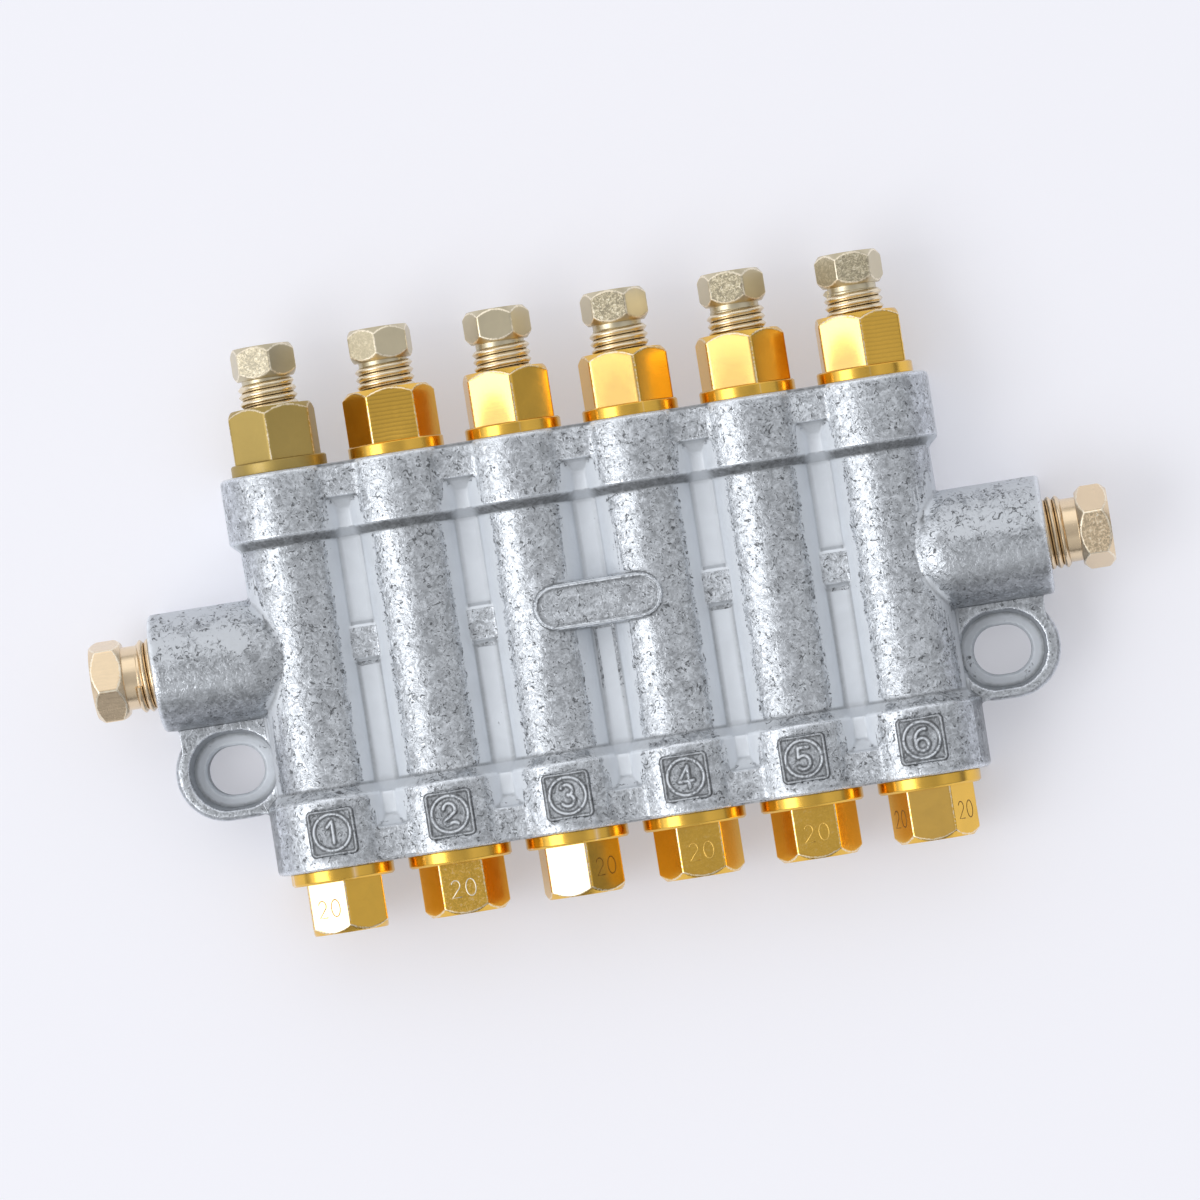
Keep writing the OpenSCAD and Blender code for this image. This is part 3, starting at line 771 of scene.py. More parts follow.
def coil_tree():
    """Coil of round wire along +Z, turned to its axis, with closer turns at its ends if wanted.

    Sharpness turns the wire's round section towards a square on its corner, as for a thread.
    """
    tree = bpy.data.node_groups.new("wire_coil", "GeometryNodeTree")
    face = tree.interface
    face.new_socket("Geometry", in_out="OUTPUT", socket_type="NodeSocketGeometry")
    for name, kind, value in (
        ("Coil Radius", "Float", 0.003),
        ("Wire Radius", "Float", 0.0004),
        ("Start", "Float", 0.0),
        ("End", "Float", 0.01),
        ("Turns", "Float", 8.0),
        ("Closing", "Float", 0.0),
        ("Place", "Vector", (0, 0, 0)),
        ("Rotation", "Vector", (0, 0, 0)),
        ("Steps", "Int", 400),
        ("Sides", "Int", 10),
        ("Sharpness", "Float", 0.0),
        ("Material", "Material", None),
    ):
        socket = face.new_socket(name, in_out="INPUT", socket_type=f"NodeSocket{kind}")
        if value is not None:
            socket.default_value = value
    board = Board(tree)

    def node(kind, output, settings=None, **inputs):
        values = {key.replace("_", " "): value for key, value in inputs.items()}
        return board.make(kind, settings, values)[output]

    given = board.make("NodeGroupInput")
    line = node("GeometryNodeCurvePrimitiveLine", "Curve", Start=(0, 0, 0), End=(0, 0, 1))
    points = node("GeometryNodeResampleCurve", "Curve", Curve=line, Count=given["Steps"])
    u = node("GeometryNodeSplineParameter", "Factor")
    angle = u * given["Turns"] * (2 * math.pi)
    rise = u - (u * (2 * math.pi)).sine() * given["Closing"] / (2 * math.pi)
    place = node(
        "ShaderNodeCombineXYZ", "Vector", X=angle.cosine() * given["Coil Radius"],
        Y=angle.sine() * given["Coil Radius"],
        Z=given["Start"] + (given["End"] - given["Start"]) * rise,
    )
    path = node("GeometryNodeSetPosition", "Geometry", Geometry=points, Position=place)
    path = node("GeometryNodeSetCurveNormal", "Curve", {"mode": "Z_UP"}, Curve=path)
    circle = node(
        "GeometryNodeCurvePrimitiveCircle", "Curve", {"mode": "RADIUS"},
        Resolution=given["Sides"], Radius=given["Wire Radius"],
    )
    position = node("GeometryNodeInputPosition", "Position")
    corner = board.make("ShaderNodeSeparateXYZ", {}, {"Vector": position})
    around = (corner["X"].size() + corner["Y"].size()) / given["Wire Radius"]
    shrink = 1.0 / (1.0 - given["Sharpness"] + given["Sharpness"] * around)
    outline = node("ShaderNodeCombineXYZ", "Vector", X=corner["X"] * shrink, Y=corner["Y"] * shrink)
    profile = node("GeometryNodeSetPosition", "Geometry", Geometry=circle, Position=outline)
    wire = node("GeometryNodeCurveToMesh", "Mesh", Curve=path, Profile_Curve=profile, Fill_Caps=True)
    wire = node(
        "GeometryNodeTransform", "Geometry", Geometry=wire, Translation=given["Place"],
        Rotation=given["Rotation"],
    )
    wire = node("GeometryNodeSetShadeSmooth", "Geometry", Geometry=wire, Shade_Smooth=True)
    wire = node("GeometryNodeRealizeInstances", "Geometry", Geometry=wire)
    wire = node("GeometryNodeSetMaterial", "Geometry", Geometry=wire, Material=given["Material"])
    board.make("NodeGroupOutput", {}, {"Geometry": wire})
    return tree


def coil_mesh(name, finish, **inputs):
    """Plain mesh of one coil, its sizes given in metres."""
    tree = bpy.data.node_groups.get("wire_coil") or coil_tree()
    items = tree.interface.items_tree
    sockets = {item.name: item.identifier for item in items if item.in_out == "INPUT"}

    def add(holder):
        modifier = holder.modifiers.new("coil", "NODES")
        modifier.node_group = tree
        for key, value in {**inputs, "Material": finish}.items():
            modifier[sockets[key.replace("_", " ")]] = value

    mesh = applied(bpy.data.meshes.new(f"{name}_maker"), add)
    mesh.name = name
    return cleaned(mesh)


# ------------------------------------------------------------------ casting


class Skin:
    """Points and edges of a dense mesh, for moves that a modifier can't make."""

    def __init__(self, mesh):
        self.mesh = mesh
        self.count = len(mesh.vertices)
        self.points = read(mesh.vertices, "co", 3) / MM
        self.a, self.b = read(mesh.edges, "vertices", 2, np.int64).T
        self.degree = sum(np.bincount(end, minlength=self.count) for end in (self.a, self.b))

    def neighbour_mean(self, values):
        """Mean of each point's neighbours, in rows of values."""
        result = np.empty_like(values)
        for axis in range(values.shape[1]):
            column = values[:, axis]
            result[:, axis] = np.bincount(self.a, column[self.b], self.count)
            result[:, axis] += np.bincount(self.b, column[self.a], self.count)
        return result / np.maximum(self.degree, 1)[:, None]

    def move_to_mean(self):
        """Way from each point to the mean of its neighbours."""
        return self.neighbour_mean(self.points) - self.points

    def normals(self):
        """Vertex normals, after the points went back to the mesh."""
        self.mesh.vertices.foreach_set("co", (self.points * MM).reshape(-1))
        self.mesh.update()
        return read(self.mesh.vertices, "normal", 3)

    def bend(self, passes):
        """How far each point lies under the mean of its neighbours, along its normal."""
        bend = np.einsum("ij,ij->i", self.move_to_mean(), self.normals())[:, None]
        for _ in range(passes):
            bend = (bend + self.neighbour_mean(bend)) / 2
        return bend[:, 0]

    def even_normals(self, passes, crease):
        """Normals evened with their neighbours', but not across an edge."""
        normals = self.normals()
        for _ in range(passes):
            first, second = normals[self.a], normals[self.b]
            alike = np.clip((np.einsum("ij,ij->i", first, second) - crease) / (1 - crease), 0, 1)
            for axis in range(3):
                normals[:, axis] += np.bincount(self.a, second[:, axis] * alike, self.count)
                normals[:, axis] += np.bincount(self.b, first[:, axis] * alike, self.count)
            normals /= np.linalg.norm(normals, axis=1, keepdims=True)
        return normals

    def fill_corners(self, passes, weight):
        """Moves points outwards where their neighbours stand proud, so that inner corners fill up."""
        share, renewed_after = 0.6, 6
        normals = self.normals()
        for k in range(1, passes + 1):
            if k % renewed_after == 0:
                normals = self.normals()
            move = self.move_to_mean()
            outward = np.einsum("ij,ij->i", move, normals)
            self.points += move * (share * weight * (outward > 0))[:, None]

    def relax(self, passes):
        """Evens the surface, with a step back after each step so that it hardly shrinks."""
        for _ in range(passes):
            for step in (0.5, -0.52):
                self.points += self.move_to_mean() * step


def height_map(points, step):
    """Highest z of points over a grid in x and y, with the grid's origin."""
    margin = 3
    low = points[:, :2].min(axis=0) - margin
    shape = tuple(np.ceil((points[:, :2].max(axis=0) + margin - low) / step).astype(int) + 1)
    cell = np.round((points[:, :2] - low) / step).astype(int)
    grid = np.zeros(shape)
    np.maximum.at(grid, (cell[:, 0], cell[:, 1]), points[:, 2])
    return grid, low


def rolled_over(grid, step, width, depth):
    """Surface that a flat ball touches from above, with its radii along the row and across it."""
    reach_x, reach_y = int(width / step), int(depth / step)
    offsets = []
    for i in range(-reach_x, reach_x + 1):
        for j in range(-reach_y, reach_y + 1):
            level = 1 - (i * step / width) ** 2 - (j * step / depth) ** 2
            if level > 0:
                offsets.append((i, j, (math.sqrt(level) - 1) * width))
    nx, ny = grid.shape
    margin = ((reach_x, reach_x), (reach_y, reach_y))
    for sign, start, pick in ((1, 0.0, np.maximum), (-1, 1e9, np.minimum)):
        padded = np.pad(grid, margin, constant_values=start)
        grid = np.full((nx, ny), -sign * 1e9)
        for i, j, drop in offsets:
            shifted = padded[reach_x + i:reach_x + i + nx, reach_y + j:reach_y + j + ny]
            grid = pick(grid, shifted + sign * drop)
    return grid


def sampled(grid, low, step, points):
    """Value of a grid at points, between its nodes."""
    place = np.clip((points[:, :2] - low) / step, 0, np.array(grid.shape) - 1.001)
    i, j = place.astype(int).T
    fx, fy = (place - np.stack([i, j], axis=1)).T
    near = grid[i, j] * (1 - fx) * (1 - fy) + grid[i + 1, j] * fx * (1 - fy)
    return near + grid[i, j + 1] * (1 - fx) * fy + grid[i + 1, j + 1] * fx * fy


def ramped(values, start, width):
    """Zero up to a start, and one from this width beyond it."""
    return np.clip((values - start) / width, 0, 1)


def cast_piece(name, mesh, *nodes):
    """Piece of the casting, which rides on the body."""
    new_object(name, mesh, "distributor_body", "zinc_casting", material("cast_zinc"), *nodes)


class DISTRIBUTOR_OT_casting(bpy.types.Operator):
    """Make the casting's skin with soft inner corners and tumbled crests"""

    bl_idname = "distributor.casting"
    bl_label = "Casting Skin"

    map_step = 0.4
    relaxing_before, relaxing_after = 8, 2
    bend_passes = 4
    normal_passes, crease = 8, 0.94

    def execute(self, context):
        size = sizes()
        solid = cleaned(frame["nodes"]["casting"].data.copy(), merge=1e-6)
        grain = size.voxel * MM
        dense = modified(solid, "REMESH", mode="VOXEL", voxel_size=grain, adaptivity=0.0)
        skin = Skin(dense)
        grid, low = height_map(skin.points, self.map_step)
        depth = sampled(grid, low, self.map_step, skin.points) - skin.points[:, 2]
        exposed = np.clip(1.6 - depth * 0.8, 0, 1)
        skin.relax(self.relaxing_before)
        skin.fill_corners(size.fillet_passes, exposed)
        skin.relax(self.relaxing_after)
        bend = skin.bend(self.bend_passes)
        self._sink_under_reliefs(skin, size.square)
        normals = skin.even_normals(self.normal_passes, self.crease)
        ratio = min(1.0, size.skin_triangles / (2 * len(dense.polygons)))
        light = modified(dense, "DECIMATE", ratio=ratio)
        light.shade_smooth()
        nearest = self._nearest(light, skin.points)
        self._mark(light, grid, low, normals[nearest], bend[nearest])
        light.normals_split_custom_set_from_vertices(normals[nearest].tolist())
        cast_piece("casting_skin", light, "casting")
        return {"FINISHED"}

    @staticmethod
    def _nearest(mesh, points):
        """For each point of a mesh, which of the dense skin's points is nearest."""
        tree = KDTree(len(points))
        for k, point in enumerate((points * MM).tolist()):
            tree.insert(point, k)
        tree.balance()
        return [tree.find(vertex.co)[1] for vertex in mesh.vertices]

    @staticmethod
    def _sink_under_reliefs(skin, square):
        """Keeps the skin below the number squares and the plate, which are pieces of their own."""
        x, y, z = skin.points.T
        squares = [inside_square(x - centre, y - SQUARE_Y, square) for centre in STATION_X.values()]
        under_square = np.max(squares, axis=0) > 0.15
        z[under_square] = np.minimum(z[under_square], SQUARE_TOP - 0.25)
        under_plate = inside_plate(x, y - PLATE_Y) > 0.2
        z[under_plate] = np.minimum(z[under_plate], PLATE_TOP - 0.6)

    def _mark(self, mesh, grid, low, normals, bend):
        """Attributes: worn where tumbling reaches, painted shade in the corners, recesses, shelves
        and on the bosses' lower half, and polish with painted highlights on the edges.
        """
        points = Skin(mesh).points
        x, y, z = points.T
        rolled = rolled_over(grid, self.map_step, 12.0, 2.2)
        depth = sampled(rolled, low, self.map_step, points) - z
        under = sampled(grid, low, self.map_step, points) - z
        worn = np.clip(1.3 - depth / 0.8, 0, 1)
        side = np.clip(under / 2 - 0.5, 0, 1)
        worn = worn * (1 - side) + 0.45 * side

        # The bosses are worn on their lower side and their upper half is kept paler as a painted
        # reflection, the ears on their rims, the pads all over
        raised = z > AXIS_Z
        beyond = np.abs(x) > BAND_END
        out = ramped(np.abs(x) - ROW_HALF, 5.0, 3.0)
        upper = ramped(y, GALLERY_Y, 1.6)
        boss = (np.abs(x) > BOSS_START) & (np.abs(y - GALLERY_Y) < BOSS_R) & raised
        full = np.maximum(worn[boss], 0.85 * (out[boss] > 0.5))
        worn[boss] = full * (1 - 0.6 * upper[boss] * out[boss])
        ear = beyond & ~boss & (y < GALLERY_Y - 7)
        worn[ear] = np.clip((z[ear] - EAR_TOP) / 0.8, 0.2, 1)
        pad = (np.abs(y - MIDDLE) > HALF - 5.4) | (np.abs(y - GALLERY_Y + 0.6) < 2.6)
        pad &= (normals[:, 2] > 0.75) & ~beyond
        worn[pad] = np.maximum(worn[pad], 0.72)

        # The sloped shelves of both bands are smoother, with painted shade on them and a painted dark
        # line over the lower one
        lower = y < MIDDLE
        shelf = ramped(np.abs(normals[:, 1]), 0.35, 0.15) * np.clip(normals[:, 2] * 4, 0, 1)
        shelf *= (under < 0.8) & ~beyond & ~boss & raised
        worn *= 1 - np.where(lower, 0.45, 0.8) * shelf
        aside = np.abs((x + ROW_HALF + PITCH / 2) % PITCH - PITCH / 2)
        crest = np.clip((7.2 - aside) / 1.2, 0, 1)
        # Painted shade in the inner corners, darker on the crests and on the lower half
        dirt = ramped(bend, 0.004, 0.010) * (0.14 + 0.24 * crest + 0.22 * lower)
        shelf_shade = np.where(lower, 0.16 + 0.10 * crest, 0.22 + 0.62 * crest)
        dirt = np.maximum(dirt, shelf * shelf_shade)
        # Painted shade as a dark line at the foot of the lower shelf
        foot = np.percentile(y[(shelf > 0.9) & lower & (crest > 0.9)], 97)
        line = np.clip(1.4 - np.abs(y - foot) / 0.22, 0, 1) * raised * ~beyond
        dirt = np.maximum(dirt, line * (0.30 + 0.34 * crest))

        # Painted shade lies on the lower half of the bosses and in the ears' recesses, beside a row
        # of painted glints on the bosses
        low_side = 0.20 + 0.16 * (y[boss] < GALLERY_Y - 1)
        dirt[boss] = np.maximum(dirt[boss], low_side * out[boss])
        recess = np.clip(worn[ear] + 1 - np.abs(normals[ear, 2]) * 1.6, 0, 1)
        dirt[ear] = np.maximum(dirt[ear], 0.50 * recess)
        # Convex edges are polished and painted lighter, partly as painted highlights, and the bosses
        # get a row of painted glints
        proud = ramped(-bend, 0.0045, 0.007)
        glint = np.clip(1.2 - np.abs(y - GALLERY_Y + 2.4) / 2.2, 0, 1) * 0.45 * out
        proud[boss] = np.maximum(proud[boss], glint[boss])
        for label, values in (("worn", worn), ("dirt", dirt), ("proud", proud)):
            store(mesh, label, values)


class DISTRIBUTOR_OT_reliefs(bpy.types.Operator):
    """Make the numbered squares on the metering band and the bare name plate"""

    bl_idname = "distributor.reliefs"
    bl_label = "Number Squares and Plate"

    square_step, square_base = 0.09, AXIS_Z + 6.5
    plate_step, plate_base = 0.1, AXIS_Z + 5.0

    def execute(self, context):
        side = sizes().square + 0.3
        for i, centre in STATION_X.items():
            name = f"number_square_{i}"
            mesh = relief_mesh(
                name, (centre, SQUARE_Y), (side, side), self.square_step,
                lambda x, y, digit=i: self._square(digit, x, y), self.square_base,
            )
            cast_piece(name, mesh)
        size = (PLATE[0] + 0.4, PLATE[1] + 0.4)
        mesh = relief_mesh(
            "name_plate", (0.0, PLATE_Y), size, self.plate_step, self._plate, self.plate_base
        )
        cast_piece("name_plate", mesh)
        return {"FINISHED"}

    @staticmethod
    def _square(digit, x, y):
        """Square with a raised border, a ring and a number, with painted shade on its sunk ground,
        beside what is raised and at its edge, and its raised strokes painted lighter.
        """
        size = sizes()
        border = inside_square(x, y, size.square)
        strokes = [[(u * size.digit, v * size.digit) for u, v in s] for s in digit_strokes(digit)]
        radius = np.hypot(x, y)
        to_border = np.abs(border - 0.42)
        nearest = np.minimum(to_border + 0.06, np.abs(radius - size.ring / 2 + 0.15))
        nearest = np.minimum(nearest, stroke_distance(x, y, strokes) - 0.02)
        raised = ridge(nearest, 0.15, 0.13) * np.where(to_border < 0.3, 0.6, 1.0)
        outline = np.clip(ridge(nearest, 0.70, 0.22) - 1.3 * raised, 0, 1)
        ground = np.where(radius > size.ring / 2, 0.42, 0.32)
        dirt = np.maximum(ground * (1 - raised), outline * 0.82)
        fall = np.clip((0.14 - border) / 0.22, 0, 1)
        dirt = np.maximum(dirt, np.clip((0.30 - border) / 0.1, 0, 1) * 0.55)
        height = SQUARE_TOP + raised * 0.24 - fall * 1.2
        return height, 0.62 - 0.2 * raised, dirt, raised * 0.25

    @staticmethod
    def _plate(x, y):
        """Oval plate with a sunk bare field, painted shade inside its border and a painted highlight
        on its rim.
        """
        border = inside_plate(x, y)
        field = smooth(np.clip((border - 0.35) / 0.2, 0, 1))
        fall = np.clip((0.15 - border) / 0.3, 0, 1)
        dirt = ridge(np.abs(border - 0.6), 0.12, 0.2) * 0.4
        proud = ridge(np.abs(border - 0.2), 0.12, 0.15) * 0.7
        return PLATE_TOP - 0.25 * field - fall * 2.0, 0.45 + 0.5 * field, dirt, proud


# ------------------------------------------------------------------ brass parts


def hexagon_ends(af, low, high, cut_low, cut_high):
    """Half section of a hexagon's outside, from its low to its high end."""
    corner = af / math.sqrt(3) + CORNER_SPARE
    inner = af / 2 - CROWN_INSET
    bottom = [(inner, low, 0.05), (corner, low + CROWN, 0.0)] if cut_low else [(corner, low, 0.0)]
    top = [(corner, high - CROWN, 0.0), (inner, high, 0.05)] if cut_high else [(corner, high, 0.0)]
    return bottom + top


def brass_piece(name, outline, hexagon, centre, body, finish, node, slot, side=0, crowns=1, **marks):
    """Turned piece that stands for a CAD node. A side of -1 or 1 lays it along the row."""
    low, high, af, turn = hexagon
    drawn = (low, high, af, -side * turn if side else turn)
    mesh = turned_mesh(name, outline, drawn, centre, side)
    mark_flats(mesh, hexagon, centre, (1, 2) if side else (0, 2), crowns, **marks)
    new_object(name, mesh, body, slot, material(finish), node)


class DISTRIBUTOR_OT_outlet_fittings(bpy.types.Operator):
    """Make the six brass outlet fittings"""

    bl_idname = "distributor.outlet_fittings"
    bl_label = "Outlet Fittings"

    turns = (26, 5, -21, -14, -15, -25)

    def execute(self, context):
        mouth = HALF + MOUTH
        low = HALF + FITTING_COLLAR
        outline = [
            (0, STEM_END), (STEM_R - 0.2, STEM_END), (STEM_R, STEM_END + 0.2), (STEM_R, 0.35),
            (2.75, 0.35), (2.75, 5.4), (BORE_R, 6.2), (BORE_R, HALF - BORE_DEPTH),
            (SCREW_R, HALF - SCREW_DEPTH), (SCREW_R, HALF),
            (6.5, HALF, 0.15), (6.5, low - 0.2, 0.1), (6.3, low, 0),
            *hexagon_ends(FITTING_AF, low + 0.002, mouth, False, True),
            (4.3, mouth, 0.04), (4.0, mouth - 0.3), (4.0, HALF + 1.45), (3.0, HALF + 1.45),
            (2.15, HALF + 0.5), (2.05, HALF - 2.5), (TUBE_BORE_R, HALF - 2.5), (TUBE_BORE_R, 6.4),
            (STEM_BORE_R, 5.4), (STEM_BORE_R, STEM_BORE_END), (0, STEM_BORE_END),
        ]
        for i, x in STATION_X.items():
            turn = self.turns[i - 1]
            brass_piece(
                f"fitting_{i}", outline, (low, mouth, FITTING_AF, turn), (x, MIDDLE, AXIS_Z),
                "distributor_body", "green_brass" if i == 1 else "yellow_brass",
                f"outlet_fitting_{i}", "yellow_brass", ground={},
                lined={2: {turn: 0.8}, 6: {turn + 60: 0.5}}.get(i, {}),
                # Painted lamp reflection on the upper flat of fittings 3 to 6
                shine={turn: 0.5} if i > 2 else {},
            )
        return {"FINISHED"}


def union_outline(thread_r, tube_r, inside, outside, neck, af, height):
    """Half section of a hollow union screw, its origin at the mouth it screws into."""
    core = thread_r - 0.6
    crest = thread_r - 0.05
    cone = 0.95
    top = outside + height
    return [
        (thread_r - 0.25, -inside), (crest, 0.2 - inside), (crest, 1.5 - inside),
        (core, 1.8 - inside), (core, outside - neck), (core - 0.1, outside - neck + 0.1),
        (core - 0.1, outside), *hexagon_ends(af, outside + 0.001, top, True, True),
        (tube_r + 0.4, top, 0.05), (tube_r, top - 0.4), (tube_r, 0.3), (tube_r + 0.2, 0.2),
        (tube_r + 0.2, cone - 0.2 - inside), (tube_r + cone, -inside),
    ]


def thread_piece(name, screw, start, place, turn, body, slot, finish):
    """Ridge of a screw thread, laid on the core of a union screw."""
    bead = 0.5
    steps_per_turn = 48
    end = screw["outside"] - screw["neck"] + 0.1
    turns = (end - start) / sizes().thread_pitch
    mesh = coil_mesh(
        name, material(finish), Coil_Radius=(screw["thread_r"] - 0.05 - bead) * MM,
        Wire_Radius=bead * MM, Start=start * MM, End=end * MM, Turns=turns,
        Place=tuple(c * MM for c in place), Rotation=tuple(math.radians(a) for a in turn),
        Steps=int(turns * steps_per_turn), Sides=16, Sharpness=0.6,
    )
    new_object(name, mesh, body, slot, material(finish))


class DISTRIBUTOR_OT_outlet_screws(bpy.types.Operator):
    """Make the six outlet union screws with their threads"""

    bl_idname = "distributor.outlet_screws"
    bl_label = "Outlet Union Screws"

    turns = (-15, 25, -1, -8, -8, 9)
    # How rough each screw's flats are ground, as turns of sixty degrees from its upper flat
    ground = {1: {0: 0.8}, 2: {-1: 0.35}, 4: {0: 1.0}, 5: {0: 1.0}, 6: {-1: 0.4, 0: 0.9}}

    def execute(self, context):
        outline = union_outline(**UNION)
        low, high = UNION["outside"], UNION["outside"] + UNION["height"]
        for i, x in STATION_X.items():
            body = f"outlet_screw_{i}"
            turn = self.turns[i - 1]
            mouth = (x, FACE_OUT + MOUTH, AXIS_Z)
            ground = {turn + 60 * flat: rough for flat, rough in self.ground.get(i, {}).items()}
            brass_piece(
                body, outline, (low, high, UNION["af"], turn), mouth, body, "pale_brass",
                f"outlet_union_{i}", "pale_brass", crowns=2, ground=ground,
            )
            thread_piece(
                f"outlet_thread_{i}", UNION, -2.7, mouth, (-90, 40 * i, 0), body, "pale_brass",
                "thread_brass",
            )
        return {"FINISHED"}


class DISTRIBUTOR_OT_inlet_screws(bpy.types.Operator):
    """Make the two rose brass union screws of the main line"""

    bl_idname = "distributor.inlet_screws"
    bl_label = "Inlet Union Screws"

    def execute(self, context):
        outline = union_outline(**INLET)
        out, reach = INLET["outside"], INLET["outside"] + INLET["height"]
        for side, name, turn in ((-1, "left", 16), (1, "right", -10)):
            low, high = span(f"inlet_union_{name}")
            body = f"inlet_screw_{name}"
            mouth = (float(high[0] - reach if side > 0 else low[0] + reach), GALLERY_Y, AXIS_Z)
            brass_piece(
                body, outline, (out, reach, INLET["af"], turn), mouth, body, "rose_brass",
                f"inlet_union_{name}", "rose_brass", side, crowns=2,
                ground={turn: 0.8} if side > 0 else {},
            )
            thread_piece(
                f"inlet_thread_{name}", INLET, -4.7, mouth, (0, 90 * side, 0), body, "rose_brass",
                "rose_brass",
            )
        return {"FINISHED"}


class DISTRIBUTOR_OT_nipples(bpy.types.Operator):
    """Make the six metering nipples and the dose marks on their flats"""

    bl_idname = "distributor.nipples"
    bl_label = "Metering Nipples"

    turns = (-26, 1, -18, 5, 1, -3)
    # Flats that carry the mark on each nipple, as turns of sixty degrees from its upper flat
    marked = ((0,), (0,), (1,), (0,), (0,), (-1, 1))
    ground = {2: 0.45, 4: 0.15, 5: 0.15}
    # Painted lamp reflection on the upper flat of these nipples
    shine = {1: 1.0, 3: 1.0, 6: 0.2}
    inks = {1: "dose_mark_gold", 2: "dose_mark_pale", 4: "dose_mark_faint", 5: "dose_mark_faint"}
    bead = 0.11
    bead_sides = 6
    digit_pitch = 0.88

    def execute(self, context):
        end = -HALF - NIPPLE_HEIGHT
        low = -HALF - NIPPLE_COLLAR
        sleeve = float(span("metering_nipple_1")[1][1] - MIDDLE)
        outline = [
            (0, end), *hexagon_ends(NIPPLE_AF, end, low, True, False),
            (NIPPLE_COLLAR_R - 0.3, low + 0.002, 0.1), (NIPPLE_COLLAR_R, low + 0.3, 0.15),
            (NIPPLE_COLLAR_R, -HALF, 0.15), (SCREW_R, -HALF), (SCREW_R, SCREW_DEPTH - HALF),
            (BORE_R, BORE_DEPTH - HALF), (BORE_R, sleeve),
            (CHAMBER_R, sleeve), (CHAMBER_R, CHAMBER_STOP), (SPRING_ROOM_R, CHAMBER_STOP),
            (SPRING_ROOM_R, CHAMBER_FLOOR), (0, CHAMBER_FLOOR),
        ]
        for i, x in STATION_X.items():
            turn = self.turns[i - 1]
            brass_piece(
                f"nipple_{i}", outline, (end, low + 0.001, NIPPLE_AF, turn), (x, MIDDLE, AXIS_Z),
                "distributor_body", "yellow_brass", f"metering_nipple_{i}", "yellow_brass",
                ground={turn: self.ground[i]} if i in self.ground else {},
                shine={turn: self.shine[i]} if i in self.shine else {},
            )
            points, faces = [], []
            place = Vector((x, MIDDLE + (end + low) / 2, AXIS_Z))
            for flat in self.marked[i - 1]:
                self._mark(points, faces, place, turn + 60 * flat)
            mark = mesh_from(f"dose_mark_{i}", points, faces)
            ink = material(self.inks.get(i, "dose_mark"))
            new_object(f"dose_mark_{i}", mark, "distributor_body", "yellow_brass", ink)
        return {"FINISHED"}

    def _mark(self, points, faces, place, turn):
        """Adds the dose's strokes on one flat, as beads, to points and faces."""
        size = sizes()
        digits = str(size.dose)
        width = size.dose_digit * self.digit_pitch
        sides = self.bead_sides
        spin = Matrix.Rotation(math.radians(turn), 3, "Y")
        for k, digit in enumerate(digits):
            shift = (k - (len(digits) - 1) / 2) * width
            for stroke in digit_strokes(int(digit), plain=True):
                path = [(u * size.dose_digit + shift, v * size.dose_digit) for u, v in stroke]
                start = len(points)
                ahead = np.gradient(np.array(path), axis=0)
                ahead /= np.linalg.norm(ahead, axis=1, keepdims=True)
                for (u, v), (du, dv) in zip(path, ahead):
                    for j in range(sides):
                        a = 2 * math.pi * j / sides
                        aside = self.bead * math.cos(a)
                        rise = NIPPLE_AF / 2 - 0.05 + self.bead * 0.8 * math.sin(a)
                        points.append(spin @ Vector((u - dv * aside, v + du * aside, rise)) + place)
                for ring in range(start, len(points) - sides, sides):
                    for j in range(sides):
                        i = (j + 1) % sides
                        faces.append((ring + j, ring + i, ring + sides + i, ring + sides + j))
                faces.append(tuple(reversed(range(start, start + sides))))
                faces.append(tuple(range(len(points) - sides, len(points))))


class DISTRIBUTOR_OT_springs(bpy.types.Operator):
    """Make the six return springs"""

    bl_idname = "distributor.springs"
    bl_label = "Return Springs"

    wire = 0.4
    coil = 2.75

    def execute(self, context):
        joints = {joint["name"]: joint for joint in frame["joints"]}
        finish = material("spring_wire")
        for i, x in STATION_X.items():
            name, node, joint = f"return_spring_{i}", f"piston_spring_{i}", f"piston_stroke_{i}"
            low, high = (float(corner[1]) for corner in span(node))
            mesh = coil_mesh(
                name, finish, Coil_Radius=self.coil * MM, Wire_Radius=self.wire * MM,
                Start=(low + self.wire) * MM, End=(high - self.wire) * MM, Turns=8.0, Closing=0.35,
                Place=(x * MM, 0.0, AXIS_Z * MM), Rotation=(-math.pi / 2, 0.0, 0.0), Steps=384,
                Sides=10,
            )
            piece = new_object(name, mesh, "distributor_body", "spring_steel", finish, node)
            start, stop = joints[joint]["range_m"]
            travel = abs(stop - start) / MM
            keep = (high - low - travel) / (high - low)
            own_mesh(piece)
        return {"FINISHED"}


class DISTRIBUTOR_OT_inner_parts(bpy.types.Operator):
    """Give the pistons, collars, ferrules and seals their finishes"""

    bl_idname = "distributor.inner_parts"
    bl_label = "Inner Parts"

    def execute(self, context):
        finish_of = {
            "metering_piston": "turned_steel",
            "valve_collar": "seal_rubber",
            "outlet_seal": "seal_rubber",
            "nipple_seal": "seal_rubber",
            "outlet_ferrule": "pale_brass",
            "inlet_ferrule": "rose_brass",
            "outlet_fitting": "yellow_brass",
            "metering_nipple": "yellow_brass",
            "outlet_union": "pale_brass",
            "inlet_union": "rose_brass",
            "piston_spring": "spring_wire",
            "casting": "cast_zinc",
        }
        for name, node in frame["nodes"].items():
            for place in node.material_slots:
                place.material = material(finish_of[name.rsplit("_", 1)[0]])
        return {"FINISHED"}


# ------------------------------------------------------------------ stage


